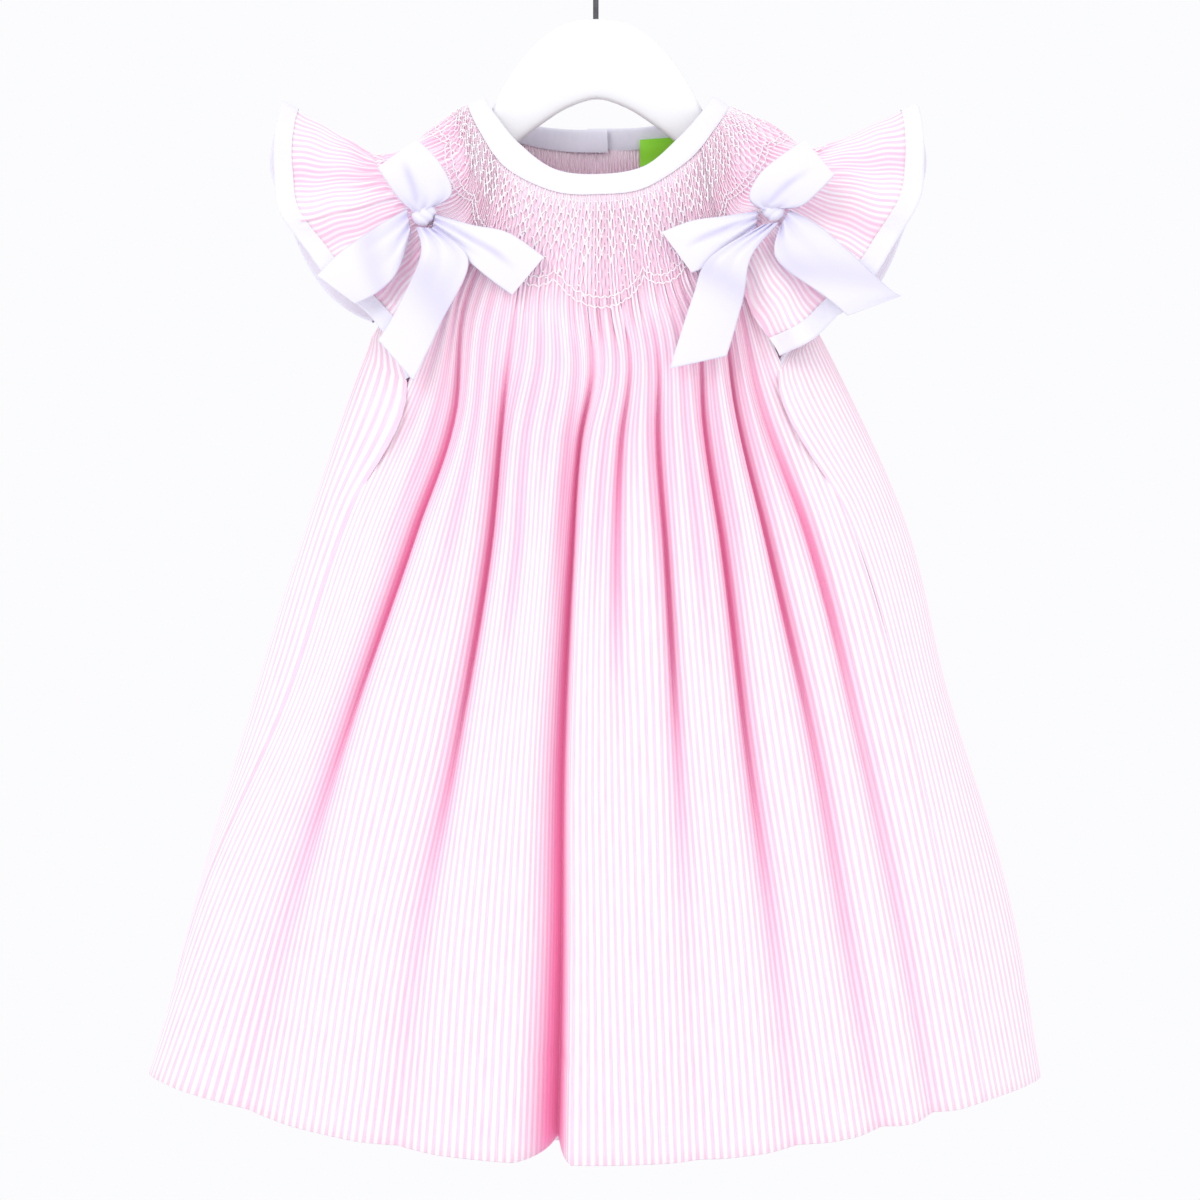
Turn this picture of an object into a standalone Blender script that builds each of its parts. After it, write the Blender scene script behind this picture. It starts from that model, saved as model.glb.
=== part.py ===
"""Smocked dress on a hanger.

A toddler's bishop dress: striped cotton gathered into a round smocked yoke, raglan sleeves that end in
flared ruffles, two ribbon bows, a bound neck and an open centre back with three buttons. It hangs flat
and open on a contoured hanger with a wire hook.

Tables are in millimetres and the finished meshes in metres. +Z is up, the front of the dress faces -Y,
and the origin is inside the top of the hook, where the hook rests on a rail.
"""

import math

import bpy
import numpy as np

for old in list(bpy.data.objects):
    bpy.data.objects.remove(old, do_unlink=True)

MM = 0.001
CLOTH = 1.1
BIAS = 2.4
RIBBON = 1.0
SEAM_GAP = 0.35
PLEAT_HEIGHT = 1.0
FRONT_COLUMNS = 96
BACK_COLUMNS = 32
SLEEVE_COLUMNS = 36
RAGLAN_FRONT_LEFT = 4.6
RAGLAN_FRONT_RIGHT = 9.4
RAGLAN_BACK_LEFT = 2.2
RAGLAN_BACK_RIGHT = 11.8
HEM_RIBBON_SHARE = 0.88

# Neck ring: station, lower edge x y z where the pleats start, top edge x y z of the binding.
NECK_RING = (
    ("back_centre", 0.0, 17, -121.2, 0.0, 15, -112.3),
    ("back_left", -24.6, 15, -119.6, -22.5, 13, -111.6),
    ("back_left_corner", -49.0, 9.5, -111.8, -43.2, 8.5, -106.0),
    ("shoulder_left", -54.6, -2, -103.6, -47.7, -1, -100.5),
    ("front_left_high", -49.7, -13, -115.0, -42.4, -10, -109.3),
    ("front_left_corner", -38.4, -21, -130.9, -32.9, -18, -120.9),
    ("front_left", -18.3, -26, -141.1, -17.9, -23, -131.9),
    ("front_centre", 0.9, -27, -142.4, 0.9, -24.5, -134.1),
    ("front_right", 20.0, -26, -139.8, 20.1, -23, -130.6),
    ("front_right_corner", 38.9, -21, -127.5, 34.6, -18, -118.4),
    ("front_right_high", 49.7, -13, -114.2, 44.1, -10, -107.5),
    ("shoulder_right", 55.9, -2, -104.4, 49.4, -1, -99.6),
    ("back_right_corner", 50.0, 9.5, -111.8, 44.6, 8.5, -105.6),
    ("back_right", 25.1, 15, -119.2, 23.7, 13, -111.1),
)

# Lower edge of the smocking: station, x, y, z. The stations face those of the neck ring.
SMOCK_RING = (
    ("back_centre", 0.0, 20, -172.1),
    ("back_left", -26.8, 19, -169.6),
    ("back_left_corner", -55.8, 16, -153.7),
    ("shoulder_left", -73.9, -2, -117.3),
    ("front_left_high", -60.6, -23, -144.7),
    ("front_left_corner", -46.0, -30, -165.6),
    ("front_left", -26.4, -32.5, -184.4),
    ("front_centre", 1.3, -33, -188.7),
    ("front_right", 26.8, -32.5, -184.0),
    ("front_right_corner", 46.8, -30, -166.8),
    ("front_right_high", 63.2, -23, -143.4),
    ("shoulder_right", 83.8, -2, -119.9),
    ("back_right_corner", 56.2, 16, -153.7),
    ("back_right", 28.1, 19, -169.6),
)

# First gathered row of the front: left end, middle and right end, each x y z.
GATHER_ROW = ((-63.9, -29.0, -183.8), (-0.4, -35.0, -218.9), (63.0, -29.0, -177.4))

# Skirt loops: level, share of the length, x of the left and right side, z of both sides, y and z of the
# middle of the front, y and z of the middle of the back, and the angle of each side seam round the loop.
LOOPS = (
    ("arm", 0.254, -100.3, 96.5, -210.6, -201.5, -35, -248.3, 22, -242.2, 36.5, 143.5),
    ("mid", 0.371, -121.3, 129.0, -272.8, -272.0, -41, -297.2, 27, -292.0, 28.7, 145.7),
    ("low", 0.574, -145.8, 150.9, -354.5, -354.5, -47, -381.4, 31, -377.5, 23.7, 150.4),
    ("deep", 0.777, -170.7, 174.6, -436.2, -437.1, -52, -465.8, 35, -463.7, 10.0, 148.7),
    ("hem", 1.0, -192.6, 190.9, -519.2, -520.5, -56, -554.2, 38, -551.0, -3.0, 150.3),
)
LOOP_POWER = 0.85

# Front folds: name, column, x at the gather row and the five loops, depth at the same six rows, and how
# many columns the fold takes on its left and right.
FRONT_FOLDS = (
    ("fold_1", 9, (-57, -62.5, -80.2, -107.9, -131.9, -150.7), (2, 9, 13, 12, 7, 4), 4.0, 4.0),
    ("fold_2", 22, (-37, -42.1, -47.1, -60.5, -75.6, -85.2), (2, 10, 14, 12, 7, 4), 4.0, 4.0),
    ("fold_3", 40, (-2, -7.2, -11.0, -14.8, -15.6, -17.3), (3, 13, 17, 20, 24, 32), 6.0, 3.0),
    ("fold_4", 51, (14, 10.6, 8.5, 9.8, 11.9, 14.8), (2, 7, 5, 1, 0, 0), 3.5, 3.5),
    ("fold_5", 60, (26, 26.8, 30.1, 34.7, 39.3, 43.5), (2, 9, 12, 9, 4, 2), 3.5, 3.5),
    ("fold_6", 72, (43, 47.2, 55.2, 64.8, 75.7, 85.7), (2, 10, 14, 13, 8, 4), 4.0, 4.0),
    ("fold_7", 82, (53, 60.8, 74.3, 92.7, 107.0, 121.6), (2, 9, 12, 11, 8, 5), 3.5, 3.5),
    ("fold_8", 90, (59, 69.5, 91.2, 112.2, 130.2, 144.8), (1, 4, 9, 9, 7, 5), 3.0, 3.0),
)

# Back folds of one panel: name, column, depth at the five loops and how many columns it takes each side.
BACK_FOLDS = (
    ("fold_1", 9, (0, 3, 6, 5, 3), 2.6),
    ("fold_2", 16, (6, 9, 8, 6, 4), 2.8),
    ("fold_3", 23, (7, 10, 9, 7, 5), 2.8),
    ("fold_4", 29, (5, 7, 6, 4, 2), 2.2),
)

# Rows of the back above the arm loop: share of the length, then x y z of seven points from the armhole to
# the centre back, for the left panel. The right panel is the same with x turned over.
BACK_UPPER_ROWS = (
    (
        0.165,
        (-64.0, 17.5, -162.0),
        (-62.0, 18.5, -170.5),
        (-54.0, 20.0, -183.0),
        (-42.0, 20.5, -192.0),
        (-28.0, 21.0, -198.0),
        (-14.0, 21.0, -202.0),
        (0.0, 21.0, -203.0),
    ),
    (
        0.210,
        (-90.0, -3.0, -194.5),
        (-93.0, 8.0, -198.0),
        (-84.0, 16.0, -207.0),
        (-68.0, 19.5, -219.0),
        (-46.0, 21.0, -221.0),
        (-23.0, 21.5, -222.0),
        (0.0, 21.5, -222.0),
    ),
)
BACK_TURN = 1 / 6

# Length shares of the rows of cloth: the skirt's are the same on both sides of the side seams.
SKIRT_ROWS = (0.254, 0.32, 0.4, 0.48, 0.57, 0.67, 0.78, 0.89, 1)
FRONT_ROWS = (0, 0.035, 0.07, 0.105, 0.13, 0.16, 0.2) + SKIRT_ROWS
BACK_ROWS = (0, 0.05, 0.105, 0.14, 0.165, 0.187, 0.21, 0.232) + SKIRT_ROWS

# Sleeve fan, left: station, elastic x y z, ruffle hem x y z, from the front raglan over the shoulder.
SLEEVE_LEFT = (
    ("front_end", -58.3, -29.5, -168.0, -83.2, -26.5, -207.5),
    ("front_low", -67.0, -30.0, -160.0, -96.5, -27.5, -194.5),
    ("front_bow", -74.0, -28.0, -152.2, -117.6, -26.0, -173.5),
    ("front_high", -83.5, -20.0, -142.0, -132.9, -22.0, -152.3),
    ("front_top", -89.6, -11.0, -132.3, -137.8, -14.0, -130.0),
    ("shoulder", -94.0, -1.0, -125.3, -134.4, -2.0, -101.8),
    ("back_top", -90.5, 8.0, -133.5, -139.8, 9.0, -127.0),
    ("back_high", -81.0, 14.5, -147.6, -132.3, 15.0, -153.0),
    ("back_low", -72.5, 18.0, -156.5, -115.0, 17.0, -184.0),
    ("back_end", -67.5, 18.5, -163.0, -96.5, 6.5, -196.0),
)
SLEEVE_RIGHT = (
    ("front_end", 57.8, -29.5, -163.5, 76.8, -27.5, -207.0),
    ("front_low", 64.5, -30.0, -155.5, 96.0, -28.5, -198.0),
    ("front_bow", 71.5, -28.0, -148.0, 117.5, -27.0, -176.5),
    ("front_high", 81.5, -20.0, -138.5, 133.5, -23.0, -151.5),
    ("front_top", 89.0, -11.0, -129.5, 139.8, -14.5, -127.5),
    ("shoulder", 95.7, -1.0, -122.0, 136.4, -2.0, -102.6),
    ("back_top", 91.5, 8.0, -131.0, 141.0, 9.0, -126.0),
    ("back_high", 82.5, 14.5, -145.0, 134.0, 15.0, -152.0),
    ("back_low", 73.0, 18.0, -155.5, 117.0, 17.0, -184.0),
    ("back_end", 67.5, 18.5, -162.0, 97.5, 6.5, -195.0),
)
RUFFLE_WAVES = 6.5
RUFFLE_WAVE_HEIGHT = 6.0


def rgb(text):
    """A colour from its hex digits, turned from screen values to linear ones."""
    values = [int(text[i : i + 2], 16) / 255 for i in (0, 2, 4)]
    return [v / 12.92 if v <= 0.04045 else ((v + 0.055) / 1.055) ** 2.4 for v in values]


def material(name, colour, roughness, metallic=0.0):
    """A plain Principled material."""
    made = bpy.data.materials.new(name)
    made.use_nodes = True
    shader = made.node_tree.nodes["Principled BSDF"]
    shader.inputs["Base Color"].default_value = (*rgb(colour), 1.0)
    shader.inputs["Roughness"].default_value = roughness
    shader.inputs["Metallic"].default_value = metallic
    made.diffuse_color = (*rgb(colour), 1.0)
    return made


STRIPED_COTTON = material("striped_cotton", "FBE3F1", 0.85)
WHITE_BIAS = material("white_bias", "F6F3FA", 0.8)
WHITE_SATIN = material("white_satin", "F1EEF8", 0.4)
GREEN_LABEL = material("green_label", "86CC3A", 0.7)
WHITE_WOOD = material("white_wood", "FAFAFA", 0.45)
DARK_WIRE = material("dark_wire", "5A5A5E", 0.35, 1.0)
PEARL_BUTTON = material("pearl_button", "F7F4F2", 0.3)


def spline(points, at, closed=False):
    """Points on a smooth curve through the given rows, at counts from 0 for the first row."""
    rows = np.asarray(points, float)
    at = np.asarray(at, float)
    count = len(rows)
    if closed:
        low = np.floor(at).astype(int)
        index = [(low + k) % count for k in (-1, 0, 1, 2)]
    else:
        low = np.clip(np.floor(at).astype(int), 0, count - 2)
        index = [np.clip(low + k, 0, count - 1) for k in (-1, 0, 1, 2)]
    f = (at - low)[..., None]
    a, b, c, d = (rows[i] for i in index)
    return 0.5 * (2 * b + (c - a) * f + (2 * a - 5 * b + 4 * c - d) * f**2 + (3 * b - a - 3 * c + d) * f**3)


def through(rows, shares, at):
    """Rows of points blended down the length by a smooth curve through rows at the given shares."""
    rows = np.asarray(rows, float)
    shares = np.asarray(shares, float)
    at = np.asarray(at, float)
    steps = np.diff(shares)
    slopes = np.diff(rows, axis=0) / steps.reshape(-1, *[1] * (rows.ndim - 1))
    tangents = np.concatenate([slopes[:1], (slopes[1:] + slopes[:-1]) / 2, slopes[-1:]])
    low = np.clip(np.searchsorted(shares, at, side="right") - 1, 0, len(shares) - 2)
    step = steps[low]
    f = (at - shares[low]) / step
    shape = (-1, *[1] * (rows.ndim - 1))
    f, step = f.reshape(shape), step.reshape(shape)
    first = (2 * f**3 - 3 * f**2 + 1) * rows[low] + (f**3 - 2 * f**2 + f) * step * tangents[low]
    second = (3 * f**2 - 2 * f**3) * rows[low + 1] + (f**3 - f**2) * step * tangents[low + 1]
    return first + second


def normals(grid, towards):
    """Unit normals of a grid on the side the vectors point to: each is the mean of the faces round it."""
    face = np.cross(grid[1:, 1:] - grid[:-1, :-1], grid[1:, :-1] - grid[:-1, 1:])
    face /= np.maximum(np.linalg.norm(face, axis=2, keepdims=True), 1e-9)
    n = np.zeros_like(grid)
    n[:-1, :-1] += face
    n[:-1, 1:] += face
    n[1:, :-1] += face
    n[1:, 1:] += face
    n /= np.maximum(np.linalg.norm(n, axis=2, keepdims=True), 1e-9)
    side = np.sign(np.sum(n * towards, axis=2).mean())
    return n * side


def solid(name, outer, inner, look):
    """A closed wall between two grids of points in millimetres."""
    rows, columns = outer.shape[:2]
    points = np.concatenate([outer.reshape(-1, 3), inner.reshape(-1, 3)]) * MM
    index = np.arange(rows * columns).reshape(rows, columns)
    back = index + rows * columns
    quads = [
        np.stack([index[:-1, :-1], index[:-1, 1:], index[1:, 1:], index[1:, :-1]], -1).reshape(-1, 4),
        np.stack([back[:-1, :-1], back[1:, :-1], back[1:, 1:], back[:-1, 1:]], -1).reshape(-1, 4),
    ]
    edge = np.concatenate([index[0], index[1:, -1], index[-1, -2::-1], index[-2:0:-1, 0]])
    far = edge + rows * columns
    quads.append(np.stack([np.roll(edge, -1), edge, far, np.roll(far, -1)], -1))
    faces = np.concatenate(quads)
    p = points[faces]
    volume = np.einsum("ij,ij->", p[:, 0], np.cross(p[:, 1], p[:, 2]))
    volume += np.einsum("ij,ij->", p[:, 0], np.cross(p[:, 2], p[:, 3]))
    if volume < 0:
        faces = faces[:, ::-1]
    mesh = bpy.data.meshes.new(name)
    mesh.from_pydata(points.tolist(), [], faces.tolist())
    mesh.materials.append(look)
    mesh.validate()
    mesh.polygons.foreach_set("use_smooth", [True] * len(mesh.polygons))
    made = bpy.data.objects.new(name, mesh)
    bpy.context.scene.collection.objects.link(made)
    return made


def bar(name, rings, look):
    """A closed bar through rings of points in millimetres, with flat ends."""
    count, sides = rings.shape[:2]
    points = rings.reshape(-1, 3) * MM
    index = np.arange(count * sides).reshape(count, sides)
    ahead = np.roll(index, -1, axis=1)
    quads = np.stack([index[:-1], ahead[:-1], ahead[1:], index[1:]], -1).reshape(-1, 4)
    faces = quads.tolist() + [index[0, ::-1].tolist(), index[-1].tolist()]
    p = points[quads]
    volume = np.einsum("ij,ij->", p[:, 0], np.cross(p[:, 1], p[:, 2]))
    volume += np.einsum("ij,ij->", p[:, 0], np.cross(p[:, 2], p[:, 3]))
    for cap in (index[0, ::-1], index[-1]):
        q = points[cap]
        for k in range(1, sides - 1):
            volume += float(np.dot(q[0], np.cross(q[k], q[k + 1])))
    if volume < 0:
        faces = [face[::-1] for face in faces]
    mesh = bpy.data.meshes.new(name)
    mesh.from_pydata(points.tolist(), [], faces)
    mesh.materials.append(look)
    mesh.polygons.foreach_set("use_smooth", [True] * len(mesh.polygons))
    made = bpy.data.objects.new(name, mesh)
    bpy.context.scene.collection.objects.link(made)
    return made


def rod(name, path, half_width, half_depth, sides, look, up=(0, 0, 1)):
    """A closed bar of oval section along a path in millimetres."""
    path = np.asarray(path, float)
    along = np.gradient(path, axis=0)
    along /= np.linalg.norm(along, axis=1, keepdims=True)
    side = np.cross(along, np.asarray(up, float))
    side /= np.maximum(np.linalg.norm(side, axis=1, keepdims=True), 1e-9)
    over = np.cross(side, along)
    turn = np.arange(sides) * 2 * math.pi / sides + math.pi / sides
    width = np.broadcast_to(np.asarray(half_width, float), len(path))[:, None, None]
    depth = np.broadcast_to(np.asarray(half_depth, float), len(path))[:, None, None]
    ring = path[:, None] + side[:, None] * np.cos(turn)[None, :, None] * width
    ring = ring + over[:, None] * np.sin(turn)[None, :, None] * depth
    return bar(name, ring, look)


def loop_point(row, angle):
    """Points on one skirt loop: angle 0 is the left side, 90 the front, 180 the right side, below 0 the back."""
    _, _, x_left, x_right, z_left, z_right, y_front, z_front, y_back, z_back, _, _ = row
    angle = np.radians(np.asarray(angle, float))
    middle, half = (x_left + x_right) / 2, (x_right - x_left) / 2
    x = middle - half * np.cos(angle)
    rise = np.sin(angle)
    front = rise > 0
    y = np.where(front, y_front, y_back) * np.abs(rise) ** LOOP_POWER
    share = (x - x_left) / (x_right - x_left)
    z_side = z_left + (z_right - z_left) * share
    z = z_side + (np.where(front, z_front, z_back) - z_side) * rise**2
    return np.stack([x, y, z], -1)


def loop_inward(row, angle):
    """Level unit vectors that point into the dress at angles of one skirt loop."""
    along = loop_point(row, np.asarray(angle) + 1.5) - loop_point(row, np.asarray(angle) - 1.5)
    n = np.stack([-along[..., 1], along[..., 0], 0 * along[..., 0]], -1)
    return n / np.maximum(np.linalg.norm(n, axis=-1, keepdims=True), 1e-9)


def seam_step(row, angle):
    """The turn, in degrees, that moves a point half a seam gap along one skirt loop."""
    ahead = loop_point(row, angle + 0.5) - loop_point(row, angle - 0.5)
    return SEAM_GAP / 2 / float(np.linalg.norm(ahead))


def seam_edge(side, towards_front):
    """One panel's edge of a side seam at the skirt rows, half a gap off the seam, and its inward directions."""
    angle = 10 if side < 0 else 11
    shares = [loop[1] for loop in LOOPS]
    line = through([loop_point(loop, loop[angle]) for loop in LOOPS], shares, SKIRT_ROWS)
    way = through([loop_inward(loop, loop[angle]) for loop in LOOPS], shares, SKIRT_ROWS)
    way /= np.linalg.norm(way, axis=1, keepdims=True)
    step = np.cross(way, np.gradient(line, axis=0))
    step /= np.linalg.norm(step, axis=1, keepdims=True)
    ahead = loop_point(LOOPS[0], LOOPS[0][angle] - side) - loop_point(LOOPS[0], LOOPS[0][angle])
    step *= np.sign(np.sum(step[0] * ahead)) * (1 if towards_front else -1)
    return line + step * SEAM_GAP / 2, way


def spaced_columns(count, anchors, squeeze):
    """Positions of the columns: each anchor (column, position) is met, and columns crowd into the folds."""
    column = np.arange(count + 1, dtype=float)
    weight = np.ones(count + 1)
    for place, much in squeeze:
        weight -= much * np.exp(-(((column - place) / 3.2) ** 2))
    weight = np.maximum(weight, 0.2)
    run = np.concatenate([[0], np.cumsum((weight[1:] + weight[:-1]) / 2)])
    places = [a for a, _ in anchors]
    values = [b for _, b in anchors]
    return np.interp(run, [run[p] for p in places], values)


def fold_shape(column, place, left, right):
    """Depth share of a fold at each column: 1 at its line and 0 beyond its width."""
    s = np.where(column < place, (place - column) / left, (column - place) / right)
    return np.clip(1 - s, 0, 1) ** 1.35


def neck_low(at):
    return spline([row[1:4] for row in NECK_RING], at, closed=True)


def neck_top(at):
    return spline([row[4:7] for row in NECK_RING], at, closed=True)


def smock_edge(at):
    return spline([row[1:4] for row in SMOCK_RING], at, closed=True)


def pleat_raise(shares, columns):
    """Height of the pleats: alternate columns stand up in the smocking and fade below it."""
    shares = np.asarray(shares, float)
    height = np.interp(shares, [0, 0.02, 0.105, 0.13, 0.16, 0.25, 1], [0.8, 1, 1, 1.3, 1, 0, 0])
    return PLEAT_HEIGHT * height[:, None] * (np.arange(columns + 1) % 2)[None, :]


def front_panel():
    """The front: neck, smocking, gathers and folds down to the hem."""
    count = FRONT_COLUMNS
    column = np.arange(count + 1, dtype=float)
    even = column / count
    start, stop = RAGLAN_FRONT_LEFT + 0.016, RAGLAN_FRONT_RIGHT - 0.016
    at = start + (stop - start) * even
    rows = [neck_low(at), smock_edge(at)]
    depths = [np.zeros(count + 1), np.zeros(count + 1)]
    ways = [np.tile([0.0, 1.0, 0.0], (count + 1, 1))] * 3
    left, middle, right = (np.array(p) for p in GATHER_ROW)
    anchors = [(0, left[0])] + [(f[1], f[2][0]) for f in FRONT_FOLDS] + [(count, right[0])]
    x = spaced_columns(count, anchors, [(f[1], 0.25) for f in FRONT_FOLDS])
    share = (x - left[0]) / (right[0] - left[0])
    bow = 1 - np.abs(2 * share - 1) ** 2.2
    ends = left + (right - left) * share[:, None]
    chord = (left + right) / 2
    row = ends + (middle - chord) * bow[:, None]
    row[:, 0] = x
    rows.append(row)
    depths.append(sum(f[3][0] * fold_shape(column, f[1], f[4], f[5]) for f in FRONT_FOLDS))
    for k, loop in enumerate(LOOPS):
        mid = (loop[2] + loop[3]) / 2
        half = (loop[3] - loop[2]) / 2
        anchors = [(0, loop[10] + seam_step(loop, loop[10]))]
        for f in FRONT_FOLDS:
            anchors.append((f[1], math.degrees(math.acos((mid - f[2][k + 1]) / half))))
        anchors.append((count, loop[11] - seam_step(loop, loop[11])))
        squeeze = [(f[1], 0.72 * min(1, f[3][k + 1] / 12)) for f in FRONT_FOLDS]
        angle = spaced_columns(count, anchors, squeeze)
        rows.append(loop_point(loop, angle))
        ways.append(loop_inward(loop, angle))
        depths.append(sum(f[3][k + 1] * fold_shape(column, f[1], f[4], f[5]) for f in FRONT_FOLDS))
    shares = [0, 0.11, 0.185] + [loop[1] for loop in LOOPS]
    at = FRONT_ROWS
    base = through(rows, shares, at)
    depth = through(np.array(depths)[..., None], shares, at)
    way = through(ways, shares, at)
    way /= np.linalg.norm(way, axis=2, keepdims=True)
    grid = base + depth * way
    grid[..., 2] += 0.3 * (np.array(at) ** 2)[:, None] * depth[..., 0]
    seam = slice(len(at) - len(SKIRT_ROWS), None)
    edges = {0: seam_edge(-1, True), -1: seam_edge(1, True)}
    for edge, (line, _) in edges.items():
        grid[seam, edge] = line
    n = normals(grid, (0, -1, 0))
    for edge, (_, inside) in edges.items():
        n[seam, edge] = -inside
    outer = grid + n * pleat_raise(at, count)[..., None]
    solid("dress_front", outer, grid - n * CLOTH, STRIPED_COTTON)
    return grid


def back_panel(name, side):
    """Half of the back, from the side seam round to the centre back. Side is -1 for left and 1 for right."""
    count = BACK_COLUMNS
    column = np.arange(count + 1, dtype=float)
    even = column / count
    raglan = RAGLAN_BACK_LEFT if side < 0 else RAGLAN_BACK_RIGHT
    centre = 0.008 if side < 0 else 14 - 0.008
    at = raglan + side * 0.02 + (centre - raglan - side * 0.02) * even
    rows = [neck_low(at), smock_edge(at)]
    nudge = np.array([side * SEAM_GAP / 2, 0, 0])
    for _, *points in BACK_UPPER_ROWS:
        rows.append(spline(np.array(points) * (-side, 1, 1), even * (len(points) - 1)) + nudge * even[:, None])
    depths = [np.zeros(count + 1)] * 2
    depths += [sum(k * f[2][0] * fold_shape(column, f[1], f[3], f[3]) for f in BACK_FOLDS) for k in (0.3, 0.7)]
    ways = [np.tile([0.0, -1.0, 0.0], (count + 1, 1))] * 4
    for k, loop in enumerate(LOOPS):
        seam = loop[10] - seam_step(loop, loop[10]) if side < 0 else 180 - loop[11] - seam_step(loop, loop[11])
        turn = min(0.0, seam - 8)
        angle = np.interp(even, [0, BACK_TURN, 1], [seam, turn, -90 + seam_step(loop, -90)])
        angle = angle if side < 0 else 180 - angle
        rows.append(loop_point(loop, angle))
        ways.append(loop_inward(loop, angle))
        depths.append(sum(f[2][k] * fold_shape(column, f[1], f[3], f[3]) for f in BACK_FOLDS))
    shares = [0, 0.11] + [row[0] for row in BACK_UPPER_ROWS] + [loop[1] for loop in LOOPS]
    at = BACK_ROWS
    base = through(rows, shares, at)
    depth = through(np.array(depths)[..., None], shares, at)
    way = through(ways, shares, at)
    way /= np.maximum(np.linalg.norm(way, axis=2, keepdims=True), 1e-9)
    grid = base + depth * way
    grid[..., 2] += 0.3 * (np.array(at) ** 2)[:, None] * depth[..., 0]
    seam = slice(len(at) - len(SKIRT_ROWS), None)
    line, inside = seam_edge(side, False)
    grid[seam, 0] = line
    n = normals(grid, -way)
    n[seam, 0] = -inside
    outer = grid + n * pleat_raise(at, count)[..., None]
    solid(name, outer, grid - n * CLOTH, STRIPED_COTTON)
    return grid, n


def sleeve(name, ribbon_name, side):
    """One angel sleeve: smocked top, shirred elastic line and the ruffle, with the ribbon along its hem."""
    count = SLEEVE_COLUMNS
    even = np.arange(count + 1) / count
    table = SLEEVE_LEFT if side < 0 else SLEEVE_RIGHT
    if side < 0:
        at = np.interp(even, [0, 1], [RAGLAN_FRONT_LEFT - 0.016, RAGLAN_BACK_LEFT + 0.016])
    else:
        at = np.interp(even, [0, 1], [RAGLAN_FRONT_RIGHT + 0.016, RAGLAN_BACK_RIGHT - 0.016])
    fan = even * (len(table) - 1)
    elastic = spline([row[1:4] for row in table], fan)
    hem = spline([row[4:7] for row in table], fan)
    rows = [neck_low(at), smock_edge(at), elastic, elastic + (hem - elastic) * 0.35, hem]
    shares = [0, 0.42, 0.54, 0.68, 1]
    phase = 2 * math.pi * RUFFLE_WAVES * even + 0.6 * np.sin(5 * even) + (0.9 if side < 0 else 0.2)
    wave = 0.5 - 0.5 * np.cos(phase)
    wave *= np.interp(even, [0, 0.05, 0.5, 0.58, 0.92, 1], [0.2, 1, 0.8, 0.8, 1, 0.1])
    front = np.interp(even, [0, 0.48, 0.62, 1], [-1, -1, 1, 1])
    lean = np.stack([np.full(count + 1, 0.25 * side), front, np.zeros(count + 1)], -1)
    gather = (np.arange(count + 1) % 2) * 1.0

    def cloth(at_shares):
        at_shares = np.asarray(at_shares, float)
        base = through(rows, shares, at_shares)
        open_by = np.interp(at_shares, [0, 0.54, 0.68, 1], [0, 0, 0.35, 1])
        return base + RUFFLE_WAVE_HEIGHT * open_by[:, None, None] * (wave[:, None] * lean)[None]

    top = np.array([0, 0.14, 0.28, 0.42, 0.48, 0.54, 0.59, 0.66, 0.74, HEM_RIBBON_SHARE - 0.006])
    grid = cloth(top)
    away = np.stack([np.zeros(count + 1), front, np.full(count + 1, 0.4)], -1)[None]
    n = normals(grid, away)
    high = np.interp(top, [0, 0.42, 0.54, 0.66, 1], [PLEAT_HEIGHT, PLEAT_HEIGHT, 1.2, 0.4, 0])
    outer = grid + n * (high[:, None] * gather[None])[..., None]
    solid(name, outer, grid - n * CLOTH, STRIPED_COTTON)
    rim = cloth(np.array([HEM_RIBBON_SHARE, 1]))
    n = normals(rim, away)
    solid(ribbon_name, rim + n * 0.35, rim - n * (CLOTH + 0.35), WHITE_BIAS)
    return grid


front = front_panel()
back_left, back_left_n = back_panel("back_left", -1)
back_right, back_right_n = back_panel("back_right", 1)
sleeve("sleeve_left", "sleeve_ribbon_left", -1)
sleeve("sleeve_right", "sleeve_ribbon_right", 1)


def neck_binding():
    """The bias strip round the neck, one end lapped under the other at the centre back."""
    at = np.linspace(-0.19, 14.17, 50)
    low, top = neck_low(at), neck_top(at)
    down = low - top
    down /= np.linalg.norm(down, axis=1, keepdims=True)
    low = low - down * 0.7
    grid = np.stack([top, (top + low) / 2, low])
    outward = np.stack([grid[..., 0], grid[..., 1] + 4, np.full(grid.shape[:2], 20.0)], -1)
    n = normals(grid, outward)
    shift = np.interp(at, [-0.19, 0.25, 0.7, 13.3, 13.75, 14.17], [-1.45, -1.3, 0, 0, 1.3, 1.45])[None, :, None]
    bulge = np.array([-0.3, 0.15, -0.1])[:, None, None]
    half = BIAS / 2
    tuck = np.array([0, 0, 0.5])[:, None, None]
    solid("neck_binding", grid + n * (half + bulge + shift), grid + n * (shift - half + tuck), WHITE_BIAS)


neck_binding()


def armhole_binding(name, grid, n):
    """A narrow rolled strip along the open underarm edge of the back."""
    rows = range(BACK_ROWS.index(0.165), BACK_ROWS.index(0.254) + 1)
    edge, n, inner = grid[rows, 0], n[rows, 0], grid[rows, 1]
    along = np.gradient(edge, axis=0)
    off = np.cross(n, along)
    off /= np.linalg.norm(off, axis=1, keepdims=True)
    off *= np.sign(np.sum(off * (edge - inner), axis=1, keepdims=True))
    path = edge + off * (1.5 + SEAM_GAP) - n * CLOTH / 2
    path[0] += (path[1] - path[0]) * 0.1
    path[-1] += (path[-2] - path[-1]) * 0.3
    rod(name, path, 1.2, 1.2, 8, WHITE_BIAS, up=(0.2, -1, 0.2))


armhole_binding("armhole_binding_left", back_left, back_left_n)
armhole_binding("armhole_binding_right", back_right, back_right_n)


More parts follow.
